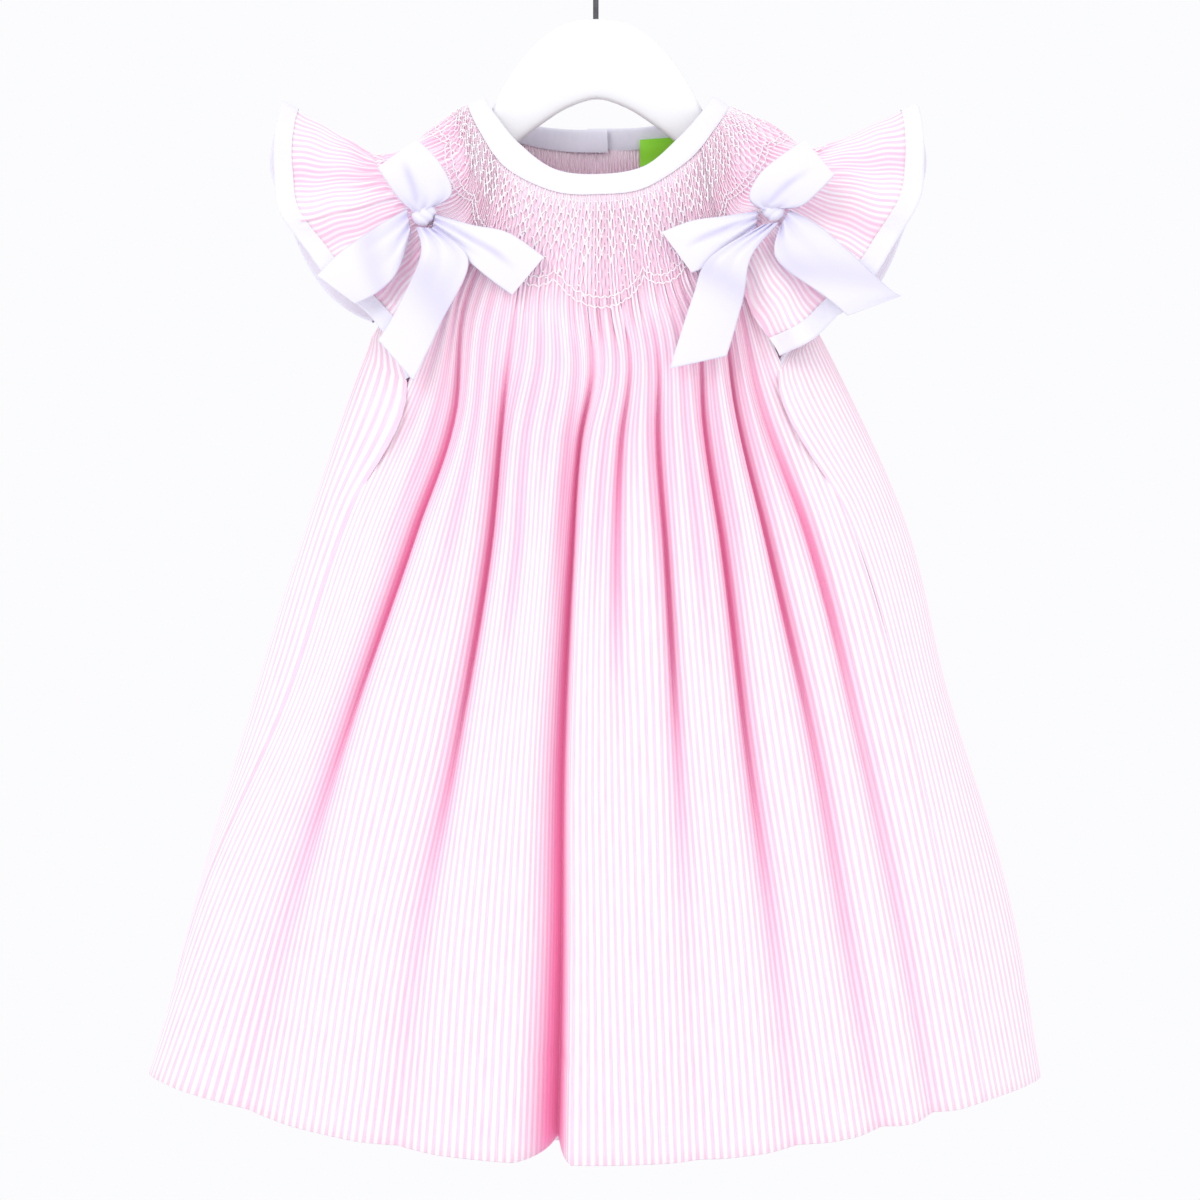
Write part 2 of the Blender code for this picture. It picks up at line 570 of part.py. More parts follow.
# Bow loops: name, start x y z at the knot, end x y z, half width at the knot and at the end, and how far
# the two layers stand apart.
BOW_LOOPS = (
    ("bow_left_loop_upper", (-76.9, -33.3, -146.3), (-84.0, -41.0, -123.5), 3.6, 11.5, 4.5),
    ("bow_left_loop_inner", (-69.2, -33.3, -154.3), (-28.8, -38.3, -174.5), 3.6, 11.5, 4.5),
    ("bow_right_loop_upper", (77.8, -33.45, -145.2), (95.0, -41.15, -125.0), 3.6, 11.5, 4.5),
    ("bow_right_loop_inner", (69.8, -33.45, -152.6), (35.0, -38.45, -165.5), 3.6, 11.0, 4.5),
)


def bow_loop(name, start, stop, half_start, half_stop, apart):
    """A ribbon loop: it runs out in front, turns over and comes back behind."""
    start, stop = np.array(start), np.array(stop)
    along = stop - start
    across = np.cross(along / np.linalg.norm(along), (0, 1, 0))
    across /= np.linalg.norm(across)
    s = np.linspace(0.03, 0.97, 13)
    reach = np.sin(math.pi * s) ** 0.75
    reach = (reach - reach[0]) / (1 - reach[0])
    layer = -np.cos(math.pi * s) * (0.25 + 0.9 * np.sin(math.pi * s))
    path = start + along * reach[:, None]
    path[:, 1] += apart * layer
    half = half_start + (half_stop - half_start) * reach
    w = np.array([-1.0, 0, 1])
    grid = path[:, None] + across * (half[:, None] * w[None])[..., None]
    grid[..., 1] += (1 - w**2)[None] * np.sign(layer)[:, None] * reach[:, None]
    middle = (start + along * 0.6)[None, None]
    n = normals(grid, grid - middle)
    solid(name, grid, grid - n * RIBBON, WHITE_SATIN)


for row in BOW_LOOPS:
    bow_loop(*row)

# Bow tails: name, then four stations from the knot to the cut end, each x y z of one edge and the other.
BOW_TAILS = (
    (
        "bow_left_tail_outer",
        ((-80.6, -34.2, -149.5), (-79.2, -34.6, -159.5)),
        ((-94.0, -36.5, -157.5), (-84.5, -37.0, -176.0)),
        ((-109.0, -37.0, -168.0), (-92.8, -37.5, -185.0)),
        ((-119.0, -35.5, -178.0), (-102.8, -36.5, -190.0)),
    ),
    (
        "bow_left_tail_down",
        ((-76.8, -36.6, -157.2), (-69.5, -36.8, -158.0)),
        ((-75.0, -40.6, -170.0), (-54.5, -40.6, -172.0)),
        ((-85.0, -39.0, -192.5), (-66.0, -39.0, -198.0)),
        ((-93.0, -37.5, -205.3), (-78.0, -37.5, -222.8)),
    ),
    (
        "bow_right_tail_down",
        ((70.6, -36.75, -156.3), (77.4, -36.75, -155.4)),
        ((47.5, -41.75, -171.0), (65.5, -41.55, -170.0)),
        ((40.5, -39.65, -187.5), (62.0, -39.65, -188.5)),
        ((30.8, -38.15, -217.7), (55.2, -38.15, -212.2)),
    ),
    (
        "bow_right_tail_outer",
        ((77.4, -34.15, -157.5), (82.0, -34.55, -150.1)),
        ((76.5, -37.15, -171.5), (96.5, -37.15, -158.5)),
        ((97.0, -38.15, -187.0), (123.0, -37.65, -182.5)),
        ((106.5, -35.65, -195.0), (129.5, -34.15, -186.5)),
    ),
)


def bow_tail(name, *stations):
    """A flat ribbon end, softly bowed across its width."""
    edges = spline(np.array(stations).reshape(len(stations), 6), np.linspace(0, len(stations) - 1, 8))
    one, other = edges[:, :3], edges[:, 3:]
    w = np.linspace(0, 1, 3)[None, :, None]
    grid = one[:, None] * (1 - w) + other[:, None] * w
    grid[..., 1] -= 0.9 * (1 - (2 * w[..., 0] - 1) ** 2) * np.linspace(0.3, 1, 8)[:, None]
    n = normals(grid, (0, -1, 0))
    solid(name, grid, grid - n * RIBBON, WHITE_SATIN)


for row in BOW_TAILS:
    bow_tail(*row)


def bow_knot(name, x, y, z, turn):
    """The small wrapped knot in the middle of a bow."""
    path = np.linspace(-5.6, 5.6, 7)
    swell = np.sqrt(np.clip(1 - (np.abs(path) / 6.6) ** 3, 0, 1))
    points = np.stack([x + path * math.cos(turn), np.full(7, y), z + path * math.sin(turn)], -1)
    rod(name, points, 4.6 * swell, 2.7 * swell, 8, WHITE_SATIN, up=(0, 1, 0))


bow_knot("bow_left_knot", -73.6, -33.0, -151.6, math.radians(50))
bow_knot("bow_right_knot", 74.6, -33.15, -149.6, math.radians(130))


def back_opening():
    """The placket strip that covers the centre back opening, and its three buttons."""
    at = np.linspace(0.004, 0.16, 9)
    edge = through(back_left[:, -1], BACK_ROWS, at)
    edge[:, 0] = 0
    edge[:, 1] += PLEAT_HEIGHT * 1.3 + SEAM_GAP + 0.1
    w = np.array([-8.0, -2.7, 2.7, 8.0])
    grid = edge[:, None] + np.array([1.0, 0, 0]) * w[None, :, None]
    n = normals(grid, (0, 1, 0))
    solid("back_placket", grid + n * CLOTH, grid, STRIPED_COTTON)
    for k, share in enumerate((0.02, 0.08, 0.14)):
        place = through(edge, at, [share])[0]
        place[1] += CLOTH + SEAM_GAP + 0.25
        path = [place + (0, d, 0) for d in (0.0, 0.5, 2.0, 2.5)]
        rod(f"button_{k + 1}", path, (4.8, 5.4, 5.4, 4.6), (4.8, 5.4, 5.4, 4.6), 12, PEARL_BUTTON)


back_opening()


def neck_label():
    """A plain folded label inside the back of the neck."""
    w = np.linspace(-1, 1, 3)
    x = 26.8 + 8.2 * w
    z = np.array([-117.0, -122.5, -128.0])
    grid = np.stack(np.broadcast_arrays(x[None, :], 10.9 + 0.0 * z[:, None], z[:, None] + 0.6 * w[None, :]), -1)
    solid("neck_label", grid, grid + np.array([0, 0.8, 0]), GREEN_LABEL)


neck_label()

# Hanger: x, z of its top edge and z of its bottom edge, for the left half; the right half is the same.
HANGER = (
    (0.0, -66.0, -100.5),
    (-12.0, -67.5, -104.0),
    (-22.0, -73.0, -110.0),
    (-32.0, -83.0, -117.5),
    (-40.0, -95.0, -124.5),
    (-46.0, -106.0, -129.5),
    (-53.0, -112.0, -135.0),
    (-62.0, -118.4, -140.5),
    (-72.0, -124.6, -145.5),
    (-84.0, -132.0, -151.5),
    (-95.0, -139.0, -157.0),
    (-104.0, -145.0, -161.0),
    (-110.0, -150.0, -162.0),
    (-113.0, -154.0, -160.0),
)
HANGER_DEPTH = 9.0


def hanger():
    """The contoured hanger: one flat arched bar with rounded edges."""
    left = np.array(HANGER)
    right = left[1:] * (-1, 1, 1)
    rows = np.concatenate([left[::-1], right])
    x, top, low = rows[:, 0], rows[:, 1], rows[:, 2]
    middle, half = (top + low) / 2, (top - low) / 2
    turn = np.radians(np.arange(8) * 45 + 22.5)
    out = np.sign(np.cos(turn)) * np.abs(np.cos(turn) / np.cos(turn[0])) ** 0.6
    rise = np.sign(np.sin(turn)) * np.abs(np.sin(turn) / np.cos(turn[0])) ** 0.6
    depth = HANGER_DEPTH / 2 * np.interp(np.abs(x), [0, 45, 60, 100, 114], [1, 1, 0.85, 0.8, 0.55])
    height = middle[:, None] + half[:, None] * rise[None]
    ring = np.stack(np.broadcast_arrays(x[:, None], depth[:, None] * out[None], height), -1)
    bar("hanger", ring, WHITE_WOOD)


hanger()

WIRE = 1.2
HOOK_INSIDE = 17.0


def hook():
    """The round wire hook: a stem, a bend to the right and an arc over the rail."""
    radius = HOOK_INSIDE + WIRE
    turn = np.radians(np.linspace(-50, 195, 16))
    arc = np.stack([radius * np.cos(turn), 0 * turn, -HOOK_INSIDE + radius * np.sin(turn)], -1)
    foot = [(-0.5, 0, -65.7), (-0.5, 0, -58.0), (-0.5, 0, -50.0), (0.6, 0, -43.0), (4.6, 0, -36.6)]
    rod("hanger_hook", np.concatenate([foot, arc]), WIRE, WIRE, 8, DARK_WIRE, up=(0, 1, 0))


hook()
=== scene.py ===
"""The looks of a smocked dress on a hanger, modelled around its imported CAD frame.

A toddler's bishop dress in narrow pink and white stripes: a round smocked yoke, angel sleeves edged with
white bias tape, two white satin bows and a bound neck, hung open on a white contoured hanger. Tables are
in millimetres, the meshes in metres; +Z is up and the front of the dress faces -Y.
"""

import math

import bpy
import numpy as np
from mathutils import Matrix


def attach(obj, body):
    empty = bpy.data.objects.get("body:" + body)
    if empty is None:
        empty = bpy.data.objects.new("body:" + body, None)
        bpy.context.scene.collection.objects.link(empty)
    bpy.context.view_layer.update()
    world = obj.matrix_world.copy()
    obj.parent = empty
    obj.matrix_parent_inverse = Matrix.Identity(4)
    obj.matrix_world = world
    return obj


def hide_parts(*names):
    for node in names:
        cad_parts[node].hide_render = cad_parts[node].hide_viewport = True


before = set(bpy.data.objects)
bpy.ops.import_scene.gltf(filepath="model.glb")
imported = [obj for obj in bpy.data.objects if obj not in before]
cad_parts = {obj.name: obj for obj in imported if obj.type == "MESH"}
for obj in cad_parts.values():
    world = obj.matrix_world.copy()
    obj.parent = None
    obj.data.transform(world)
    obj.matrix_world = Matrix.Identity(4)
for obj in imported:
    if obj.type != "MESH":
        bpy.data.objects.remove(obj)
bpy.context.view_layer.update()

# Striped cotton: the shell of the whole dress. It is a fine woven seersucker-weight cotton, yarn-dyed in
# even pink and white stripes of 1.6 mm each, made up with the stripes running down the body and sleeves.
MM = 0.001
STRIPE_PITCH = 3.2
SLUB_WIDTH, SLUB_LENGTH = 0.5, 14.0
THREAD_PITCH = 0.9


def linear(text):
    """A colour from its sRGB hex digits: each part over 12.92 when dark, else by the 2.4 power curve."""
    values = [int(text[i : i + 2], 16) / 255 for i in (0, 2, 4)]
    return (*[v / 12.92 if v <= 0.04045 else ((v + 0.055) / 1.055) ** 2.4 for v in values], 1.0)


def add(tree, kind, inputs=None, **settings):
    """Adds a node with its settings; inputs holds each socket's value, or the socket that feeds it."""
    made = tree.nodes.new(kind)
    for name, value in settings.items():
        setattr(made, name, value)
    for name, value in (inputs or {}).items():
        if isinstance(value, bpy.types.NodeSocket):
            tree.links.new(value, made.inputs[name])
        else:
            made.inputs[name].default_value = value
    return made


def finish_of(name, roughness, **sockets):
    """A new material: its node tree and its Principled shader, with constant values on their own sockets."""
    made = bpy.data.materials.new(name)
    made.use_nodes = True
    shader = made.node_tree.nodes["Principled BSDF"]
    shader.inputs["Roughness"].default_value = roughness
    for socket, value in sockets.items():
        shader.inputs[socket.replace("_", " ")].default_value = value
    return made, made.node_tree, shader


def colour_from(tree, shader, share, first, second):
    """The base colour: a mix of two hex colours by the share that a socket gives."""
    mix = add(tree, "ShaderNodeMix", {0: share, 6: linear(first), 7: linear(second)}, data_type="RGBA")
    tree.links.new(mix.outputs[2], shader.inputs["Base Color"])


def relief_from(tree, shader, height, strength, distance):
    """Fine relief: a bump of the height that a socket gives, its distance in metres."""
    bump = add(tree, "ShaderNodeBump", {"Strength": strength, "Distance": distance, "Height": height})
    tree.links.new(bump.outputs[0], shader.inputs["Normal"])


def times(tree, socket, factor):
    """A socket's value times a number or another socket's value."""
    return add(tree, "ShaderNodeMath", {0: socket, 1: factor}, operation="MULTIPLY").outputs[0]


def sine_of(tree, socket, pitch):
    """A sine wave along one direction of the cloth, its pitch in millimetres."""
    turn = times(tree, socket, 2 * math.pi / (pitch * MM))
    return add(tree, "ShaderNodeMath", {0: turn}, operation="SINE").outputs[0]


def striped_cotton():
    """Stripes from a sine across the cloth, slubbed along the yarns. Deep folds are painted a deeper pink as
    painted shade, and their cores get a faint pink emission as painted light."""
    made, tree, shader = finish_of("yarn_dyed_striped_cotton", 0.92, Sheen_Weight=0.12, Sheen_Roughness=0.4)
    cloth = add(tree, "ShaderNodeUVMap", uv_map="cloth").outputs[0]
    across = add(tree, "ShaderNodeSeparateXYZ", {0: cloth})
    wave = sine_of(tree, across.outputs[0], STRIPE_PITCH)
    soft_edge = {0: wave, 1: -0.75, 2: 0.6}
    stripe = add(tree, "ShaderNodeMapRange", soft_edge, interpolation_type="SMOOTHSTEP").outputs[0]
    scale = (1 / (SLUB_WIDTH * MM), 1 / (SLUB_LENGTH * MM), 1.0)
    yarns = add(tree, "ShaderNodeVectorMath", {0: cloth, 1: scale}, operation="MULTIPLY")
    slubs = {"Vector": yarns.outputs[0], "Scale": 1.0, "Detail": 3.0}
    slub = add(tree, "ShaderNodeTexNoise", slubs).outputs[0]
    uneven = add(tree, "ShaderNodeMapRange", {0: slub, 1: 0.3, 2: 0.7, 3: 0.62, 4: 1.0}).outputs[0]
    dyed = {0: times(tree, stripe, uneven), 6: linear("FEFBFE"), 7: linear("F7CCE3")}
    yarn = add(tree, "ShaderNodeMix", dyed, data_type="RGBA").outputs[2]
    # Painted shade: the cloth is mixed towards deep pink F48FC0 by the fold attribute, which marks folds,
    # gathers and pleat valleys.
    fold = add(tree, "ShaderNodeAttribute", attribute_name="fold").outputs["Fac"]
    deep = {0: times(tree, fold, 0.8), 6: yarn, 7: linear("F48FC0")}
    fold_shaded_colour = add(tree, "ShaderNodeMix", deep, data_type="RGBA").outputs[2]
    tree.links.new(fold_shaded_colour, shader.inputs["Base Color"])
    # Painted light: a faint pink glow by emission in the deepest fold cores, where shade would fall.
    painted_glow = add(tree, "ShaderNodeMath", {0: fold, 1: 4.0}, operation="POWER").outputs[0]
    tree.links.new(times(tree, painted_glow, 0.12), shader.inputs["Emission Strength"])
    shader.inputs["Emission Color"].default_value = linear("EC9CC4")
    pucker = times(tree, sine_of(tree, across.outputs[1], THREAD_PITCH), slub)
    height = add(tree, "ShaderNodeMath", {0: pucker, 1: 0.3, 2: stripe}, operation="MULTIPLY_ADD").outputs[0]
    relief_from(tree, shader, height, 0.35, 0.00025)
    return made


STRIPED = striped_cotton()

# Dress front: one width of striped cotton from the neck to the hem. Its top is smocked into a round yoke,
# gathers fall from the last scalloped row of smocking, and eight deep folds run on down to a wide turned hem.
NECK_RING = (
    ("back_centre", 0.0, 17, -121.2, 0.0, 15, -112.3),
    ("back_left", -24.6, 15, -119.6, -22.5, 13, -111.6),
    ("back_left_corner", -49.0, 9.5, -111.8, -43.2, 8.5, -106.0),
    ("shoulder_left", -54.6, -2, -103.6, -47.7, -1, -100.5),
    ("front_left_high", -49.7, -13, -115.0, -42.4, -10, -109.3),
    ("front_left_corner", -38.4, -21, -130.9, -32.9, -18, -120.9),
    ("front_left", -18.3, -26, -141.1, -17.9, -23, -131.9),
    ("front_centre", 0.9, -27, -142.4, 0.9, -24.5, -134.1),
    ("front_right", 20.0, -26, -139.8, 20.1, -23, -130.6),
    ("front_right_corner", 38.9, -21, -127.5, 34.6, -18, -118.4),
    ("front_right_high", 49.7, -13, -114.2, 44.1, -10, -107.5),
    ("shoulder_right", 55.9, -2, -104.4, 49.4, -1, -99.6),
    ("back_right_corner", 50.0, 9.5, -111.8, 44.6, 8.5, -105.6),
    ("back_right", 25.1, 15, -119.2, 23.7, 13, -111.1),
)
SMOCK_RING = (
    ("back_centre", 0.0, 20, -172.1),
    ("back_left", -26.8, 19, -169.6),
    ("back_left_corner", -55.8, 16, -153.7),
    ("shoulder_left", -73.9, -2, -117.3),
    ("front_left_high", -60.6, -23, -144.7),
    ("front_left_corner", -46.0, -30, -165.6),
    ("front_left", -26.4, -32.5, -184.4),
    ("front_centre", 1.3, -33, -188.7),
    ("front_right", 26.8, -32.5, -184.0),
    ("front_right_corner", 46.8, -30, -166.8),
    ("front_right_high", 63.2, -23, -143.4),
    ("shoulder_right", 83.8, -2, -119.9),
    ("back_right_corner", 56.2, 16, -153.7),
    ("back_right", 28.1, 19, -169.6),
)
GATHER_ROW = ((-63.9, -29.0, -183.8), (-0.4, -35.0, -218.9), (63.0, -29.0, -177.4))
# Skirt loops: level, share of the length, x of both sides, z of both sides, y and z of the middle of the
# front, y and z of the middle of the back, and the angle of each side seam round the loop.
LOOPS = (
    ("arm", 0.254, -100.3, 96.5, -210.6, -201.5, -35, -248.3, 22, -242.2, 36.5, 143.5),
    ("mid", 0.371, -121.3, 129.0, -272.8, -272.0, -41, -297.2, 27, -292.0, 28.7, 145.7),
    ("low", 0.574, -145.8, 150.9, -354.5, -354.5, -47, -381.4, 31, -377.5, 23.7, 150.4),
    ("deep", 0.777, -170.7, 174.6, -436.2, -437.1, -52, -465.8, 35, -463.7, 10.0, 148.7),
    ("hem", 1.0, -192.6, 190.9, -519.2, -520.5, -56, -554.2, 38, -551.0, -3.0, 150.3),
)
LOOP_POWER = 0.85
# Front folds: column, x at the gather row and the five loops, depth at the same rows, columns left and right.
FRONT_FOLDS = (
    (9, (-57, -62.5, -80.2, -107.9, -131.9, -150.7), (2, 9, 13, 12, 7, 4), 4.0, 4.0),
    (22, (-37, -42.1, -47.1, -60.5, -75.6, -85.2), (2, 10, 14, 12, 7, 4), 4.0, 4.0),
    (40, (-2, -7.2, -11.0, -14.8, -15.6, -17.3), (3, 13, 17, 20, 24, 32), 6.0, 3.0),
    (51, (14, 10.6, 8.5, 9.8, 11.9, 14.8), (2, 7, 5, 1, 0, 0), 3.5, 3.5),
    (60, (26, 26.8, 30.1, 34.7, 39.3, 43.5), (2, 9, 12, 9, 4, 2), 3.5, 3.5),
    (72, (43, 47.2, 55.2, 64.8, 75.7, 85.7), (2, 10, 14, 13, 8, 4), 4.0, 4.0),
    (82, (53, 60.8, 74.3, 92.7, 107.0, 121.6), (2, 9, 12, 11, 8, 5), 3.5, 3.5),
    (90, (59, 69.5, 91.2, 112.2, 130.2, 144.8), (1, 4, 9, 9, 7, 5), 3.0, 3.0),
)
# Gathers under the smocking: column of the groove, its depth, and the share of the length where it fades.
FRONT_GATHERS = (
    (2.4, 1.9, 0.38), (5.6, 2.3, 0.46), (9.0, 2.6, 0.6), (12.2, 2.0, 0.4), (15.6, 2.4, 0.52),
    (18.9, 1.9, 0.36), (22.0, 2.6, 0.6), (25.1, 2.1, 0.44), (28.7, 2.5, 0.58), (32.2, 2.0, 0.39),
    (36.0, 2.4, 0.47), (40.0, 2.8, 0.6), (43.2, 2.2, 0.42), (47.0, 2.5, 0.5), (51.0, 2.6, 0.6),
    (54.1, 1.9, 0.37), (57.2, 2.3, 0.45), (60.0, 2.6, 0.6), (63.3, 2.0, 0.41), (66.4, 2.5, 0.55),
    (69.2, 2.1, 0.38), (72.0, 2.6, 0.6), (75.4, 2.3, 0.48), (78.9, 2.0, 0.4), (82.0, 2.6, 0.6),
    (84.8, 2.1, 0.42), (87.5, 2.3, 0.46), (90.0, 2.4, 0.6), (93.4, 1.8, 0.36),
)
FRONT_COLUMNS = 96
RAGLAN_FRONT_LEFT, RAGLAN_FRONT_RIGHT = 4.6, 9.4
# Ring station of the left raglan seam, of each front fold and of the right raglan seam.
FRONT_STATIONS = (4.6, 4.95, 5.70, 6.80, 7.33, 7.76, 8.38, 8.86, 9.2, 9.4)
RAGLAN_BACK_LEFT, RAGLAN_BACK_RIGHT = 2.2, 11.8
PER_PLEAT = 8
FRONT_PLEATS = 80
PLEAT_HEIGHT = 1.5
SMOCK_ROWS = 13
SMOCK_SHARE = 0.118
CLOTH_LENGTH = 425.0
HEM_DEPTH, HEM_GAP = 0.105, 0.9
SEAM_WIDTH, SEAM_DEPTH, STITCHED_DEPTH = 1.3, 0.8, 0.35
SEAM_OVERLAP, UNDERARM_OVERLAP = 0.05, 2.5
SHORT_GATHER = 1.9
# Scallops of the last smocking row: ring station of each peak, and how far the bow below it reaches down.
SCALLOP_PEAKS = (-0.6, 0.4, 1.4, 2.4, 3.4, 4.3, 5.25, 6.31, 7.76, 8.85, 9.7, 10.6, 11.6, 12.6, 13.6, 14.6)
SCALLOP_DROPS = (0.9, 0.9, 0.9, 0.9, 0.9, 0.9, 0.92, 1.0, 0.92, 0.9, 0.9, 0.9, 0.9, 0.9, 0.9)
SCALLOP_TOP = 0.76


def spline(points, at, closed=False):
    """Catmull-Rom curve through the rows of points, at counts from 0 for the first row."""
    rows = np.asarray(points, float)
    at = np.asarray(at, float)
    count = len(rows)
    low = np.floor(at).astype(int) if closed else np.clip(np.floor(at).astype(int), 0, count - 2)
    index = [(low + k) % count if closed else np.clip(low + k, 0, count - 1) for k in (-1, 0, 1, 2)]
    f = (at - low)[..., None]
    a, b, c, d = (rows[i] for i in index)
    return 0.5 * (2 * b + (c - a) * f + (2 * a - 5 * b + 4 * c - d) * f**2 + (3 * b - a - 3 * c + d) * f**3)


def through(rows, shares, at):
    """Rows blended down the length: a cubic between each pair, with the mean slopes at its ends."""
    rows, shares, at = np.asarray(rows, float), np.asarray(shares, float), np.asarray(at, float)
    steps = np.diff(shares)
    slopes = np.diff(rows, axis=0) / steps.reshape(-1, *[1] * (rows.ndim - 1))
    tangents = np.concatenate([slopes[:1], (slopes[1:] + slopes[:-1]) / 2, slopes[-1:]])
    low = np.clip(np.searchsorted(shares, at, side="right") - 1, 0, len(shares) - 2)
    shape = (-1, *[1] * (rows.ndim - 1))
    f, step = ((at - shares[low]) / steps[low]).reshape(shape), steps[low].reshape(shape)
    first = (2 * f**3 - 3 * f**2 + 1) * rows[low] + (f**3 - 2 * f**2 + f) * step * tangents[low]
    return first + (3 * f**2 - 2 * f**3) * rows[low + 1] + (f**3 - f**2) * step * tangents[low + 1]


def eased(at, places, values):
    """A rising or falling cubic through places and values: each slope is its neighbours' harmonic mean."""
    places, values = np.asarray(places, float), np.asarray(values, float)
    step = np.diff(places)
    slope = np.diff(values) / step
    mean = 2 * slope[:-1] * slope[1:] / (slope[:-1] + slope[1:])
    slopes = np.concatenate([slope[:1], mean, slope[-1:]])
    low = np.clip(np.searchsorted(places, at, side="right") - 1, 0, len(step) - 1)
    f, h = (at - places[low]) / step[low], step[low]
    first = (2 * f**3 - 3 * f**2 + 1) * values[low] + (f**3 - 2 * f**2 + f) * h * slopes[low]
    return first + (3 * f**2 - 2 * f**3) * values[low + 1] + (f**3 - f**2) * h * slopes[low + 1]


def smooth(value, low, high):
    """0 below low, 1 above high, and 3t2 - 2t3 between them."""
    t = np.clip((value - low) / (high - low), 0, 1)
    return t * t * (3 - 2 * t)


def normals(grid, towards):
    """Unit normals of a grid on the side the vectors point to: each is the mean of the faces round it."""
    face = np.cross(grid[1:, 1:] - grid[:-1, :-1], grid[1:, :-1] - grid[:-1, 1:])
    face /= np.maximum(np.linalg.norm(face, axis=2, keepdims=True), 1e-9)
    n = np.zeros_like(grid)
    for rows in (slice(None, -1), slice(1, None)):
        for columns in (slice(None, -1), slice(1, None)):
            n[rows, columns] += face
    n /= np.maximum(np.linalg.norm(n, axis=2, keepdims=True), 1e-9)
    return n * np.sign(np.sum(n * towards, axis=2).mean())


def mesh_piece(name, points, quads, look, cloth=None, fold=None, caps=()):
    """A shown piece from points in mm and quads, with its cloth coordinates and, as its fold attribute, the
    painted shade at each point.
    """
    mesh = bpy.data.meshes.new(name)
    mesh.from_pydata((points * MM).tolist(), [], quads.tolist() + [list(c) for c in caps])
    mesh.materials.append(look)
    mesh.polygons.foreach_set("use_smooth", [True] * len(mesh.polygons))
    if cloth is not None:
        corner = np.zeros(len(mesh.loops), np.int32)
        mesh.loops.foreach_get("vertex_index", corner)
        layer = mesh.uv_layers.new(name="cloth")
        layer.data.foreach_set("uv", (cloth[corner] * MM).astype(np.float32).ravel())
    if fold is not None:
        layer = mesh.attributes.new("fold", "FLOAT", "POINT")
        layer.data.foreach_set("value", np.clip(fold, 0, 1).astype(np.float32).ravel())
    made = bpy.data.objects.new(name, mesh)
    bpy.context.scene.collection.objects.link(made)
    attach(made, "root")
    return made


def surface(name, grid, towards, look, cloth=None, fold=None):
    """One layer of cloth over a grid of points, its faces turned to the side the vector points to."""
    rows, columns = grid.shape[:2]
    index = np.arange(rows * columns).reshape(rows, columns)
    quads = np.stack([index[:-1, :-1], index[:-1, 1:], index[1:, 1:], index[1:, :-1]], -1).reshape(-1, 4)
    p = grid.reshape(-1, 3)
    face = np.cross(p[quads[:, 2]] - p[quads[:, 0]], p[quads[:, 3]] - p[quads[:, 1]])
    way = np.broadcast_to(np.asarray(towards, float), grid.shape).reshape(-1, 3)[quads[:, 0]]
    if np.sum(face * way) < 0:
        quads = quads[:, ::-1]
    uv = None if cloth is None else np.stack(np.broadcast_arrays(*cloth), -1).reshape(-1, 2)
    return mesh_piece(name, p, quads, look, uv, None if fold is None else fold.reshape(-1))


def loop_point(row, angle):
    """Points on one skirt loop, a flattened oval: angle 0 is its left side, 90 the front, 180 the right."""
    _, _, x_left, x_right, z_left, z_right, y_front, z_front, y_back, z_back, _, _ = row
    angle = np.radians(np.asarray(angle, float))
    x = (x_left + x_right) / 2 - (x_right - x_left) / 2 * np.cos(angle)
    rise = np.sin(angle)
    y = np.where(rise > 0, y_front, y_back) * np.abs(rise) ** LOOP_POWER
    z_side = z_left + (z_right - z_left) * (x - x_left) / (x_right - x_left)
    return np.stack([x, y, z_side + (np.where(rise > 0, z_front, z_back) - z_side) * rise**2], -1)


def loop_inward(row, angle):
    """Level unit vectors that point into the dress at angles of one skirt loop."""
    along = loop_point(row, np.asarray(angle) + 1.5) - loop_point(row, np.asarray(angle) - 1.5)
    n = np.stack([-along[..., 1], along[..., 0], 0 * along[..., 0]], -1)
    return n / np.maximum(np.linalg.norm(n, axis=-1, keepdims=True), 1e-9)


def crowded(column, anchors, squeeze):
    """Where each column goes: every anchor (column, value) is met, and columns crowd into the folds."""
    weight = 1 - sum(much * np.exp(-(((column - place) / 3.2) ** 2)) for place, much in squeeze)
    weight = np.maximum(weight, 0.2)
    run = np.concatenate([[0], np.cumsum((weight[1:] + weight[:-1]) / 2 * np.diff(column))])
    return eased(run, np.interp([a for a, _ in anchors], column, run), [b for _, b in anchors])


def groove(column, place, left, right):
    """Share of a fold's depth across it: 1 at its line, round at the bottom, 0 beyond its width."""
    s = np.where(column < place, (place - column) / left, (column - place) / right)
    return np.clip(1.1 - np.sqrt(s * s + 0.01), 0, 1) ** 1.35


def gathered(column, shares, gathers):
    """Depth of the small gathers: each groove opens below the smocking and fades at its own length."""
    total = np.zeros((len(shares), len(column)))
    for place, deep, end in gathers:
        life = smooth(shares, 0.09, 0.165) * (1 - smooth(shares, 0.6 * end, end))
        total += deep * life[:, None] * groove(column, place, SHORT_GATHER, SHORT_GATHER)[None]
    return total


def scallop(at):
    """Share of the smocking's depth where its last row runs: half sines between the peaks."""
    at = np.asarray(at, float)
    k = np.clip(np.searchsorted(SCALLOP_PEAKS, at, side="right") - 1, 0, len(SCALLOP_DROPS) - 1)
    peaks, drops = np.array(SCALLOP_PEAKS), np.array(SCALLOP_DROPS)
    t = (at - peaks[k]) / (peaks[k + 1] - peaks[k])
    return SCALLOP_TOP + (drops[k] - SCALLOP_TOP) * np.sin(np.pi * t) ** 0.7


def yoke_rows(at):
    """The yoke's two rows at ring stations: under the neck binding and below the smocking."""
    return [spline([r[1:4] for r in ring], at, closed=True) for ring in (NECK_RING, SMOCK_RING)]


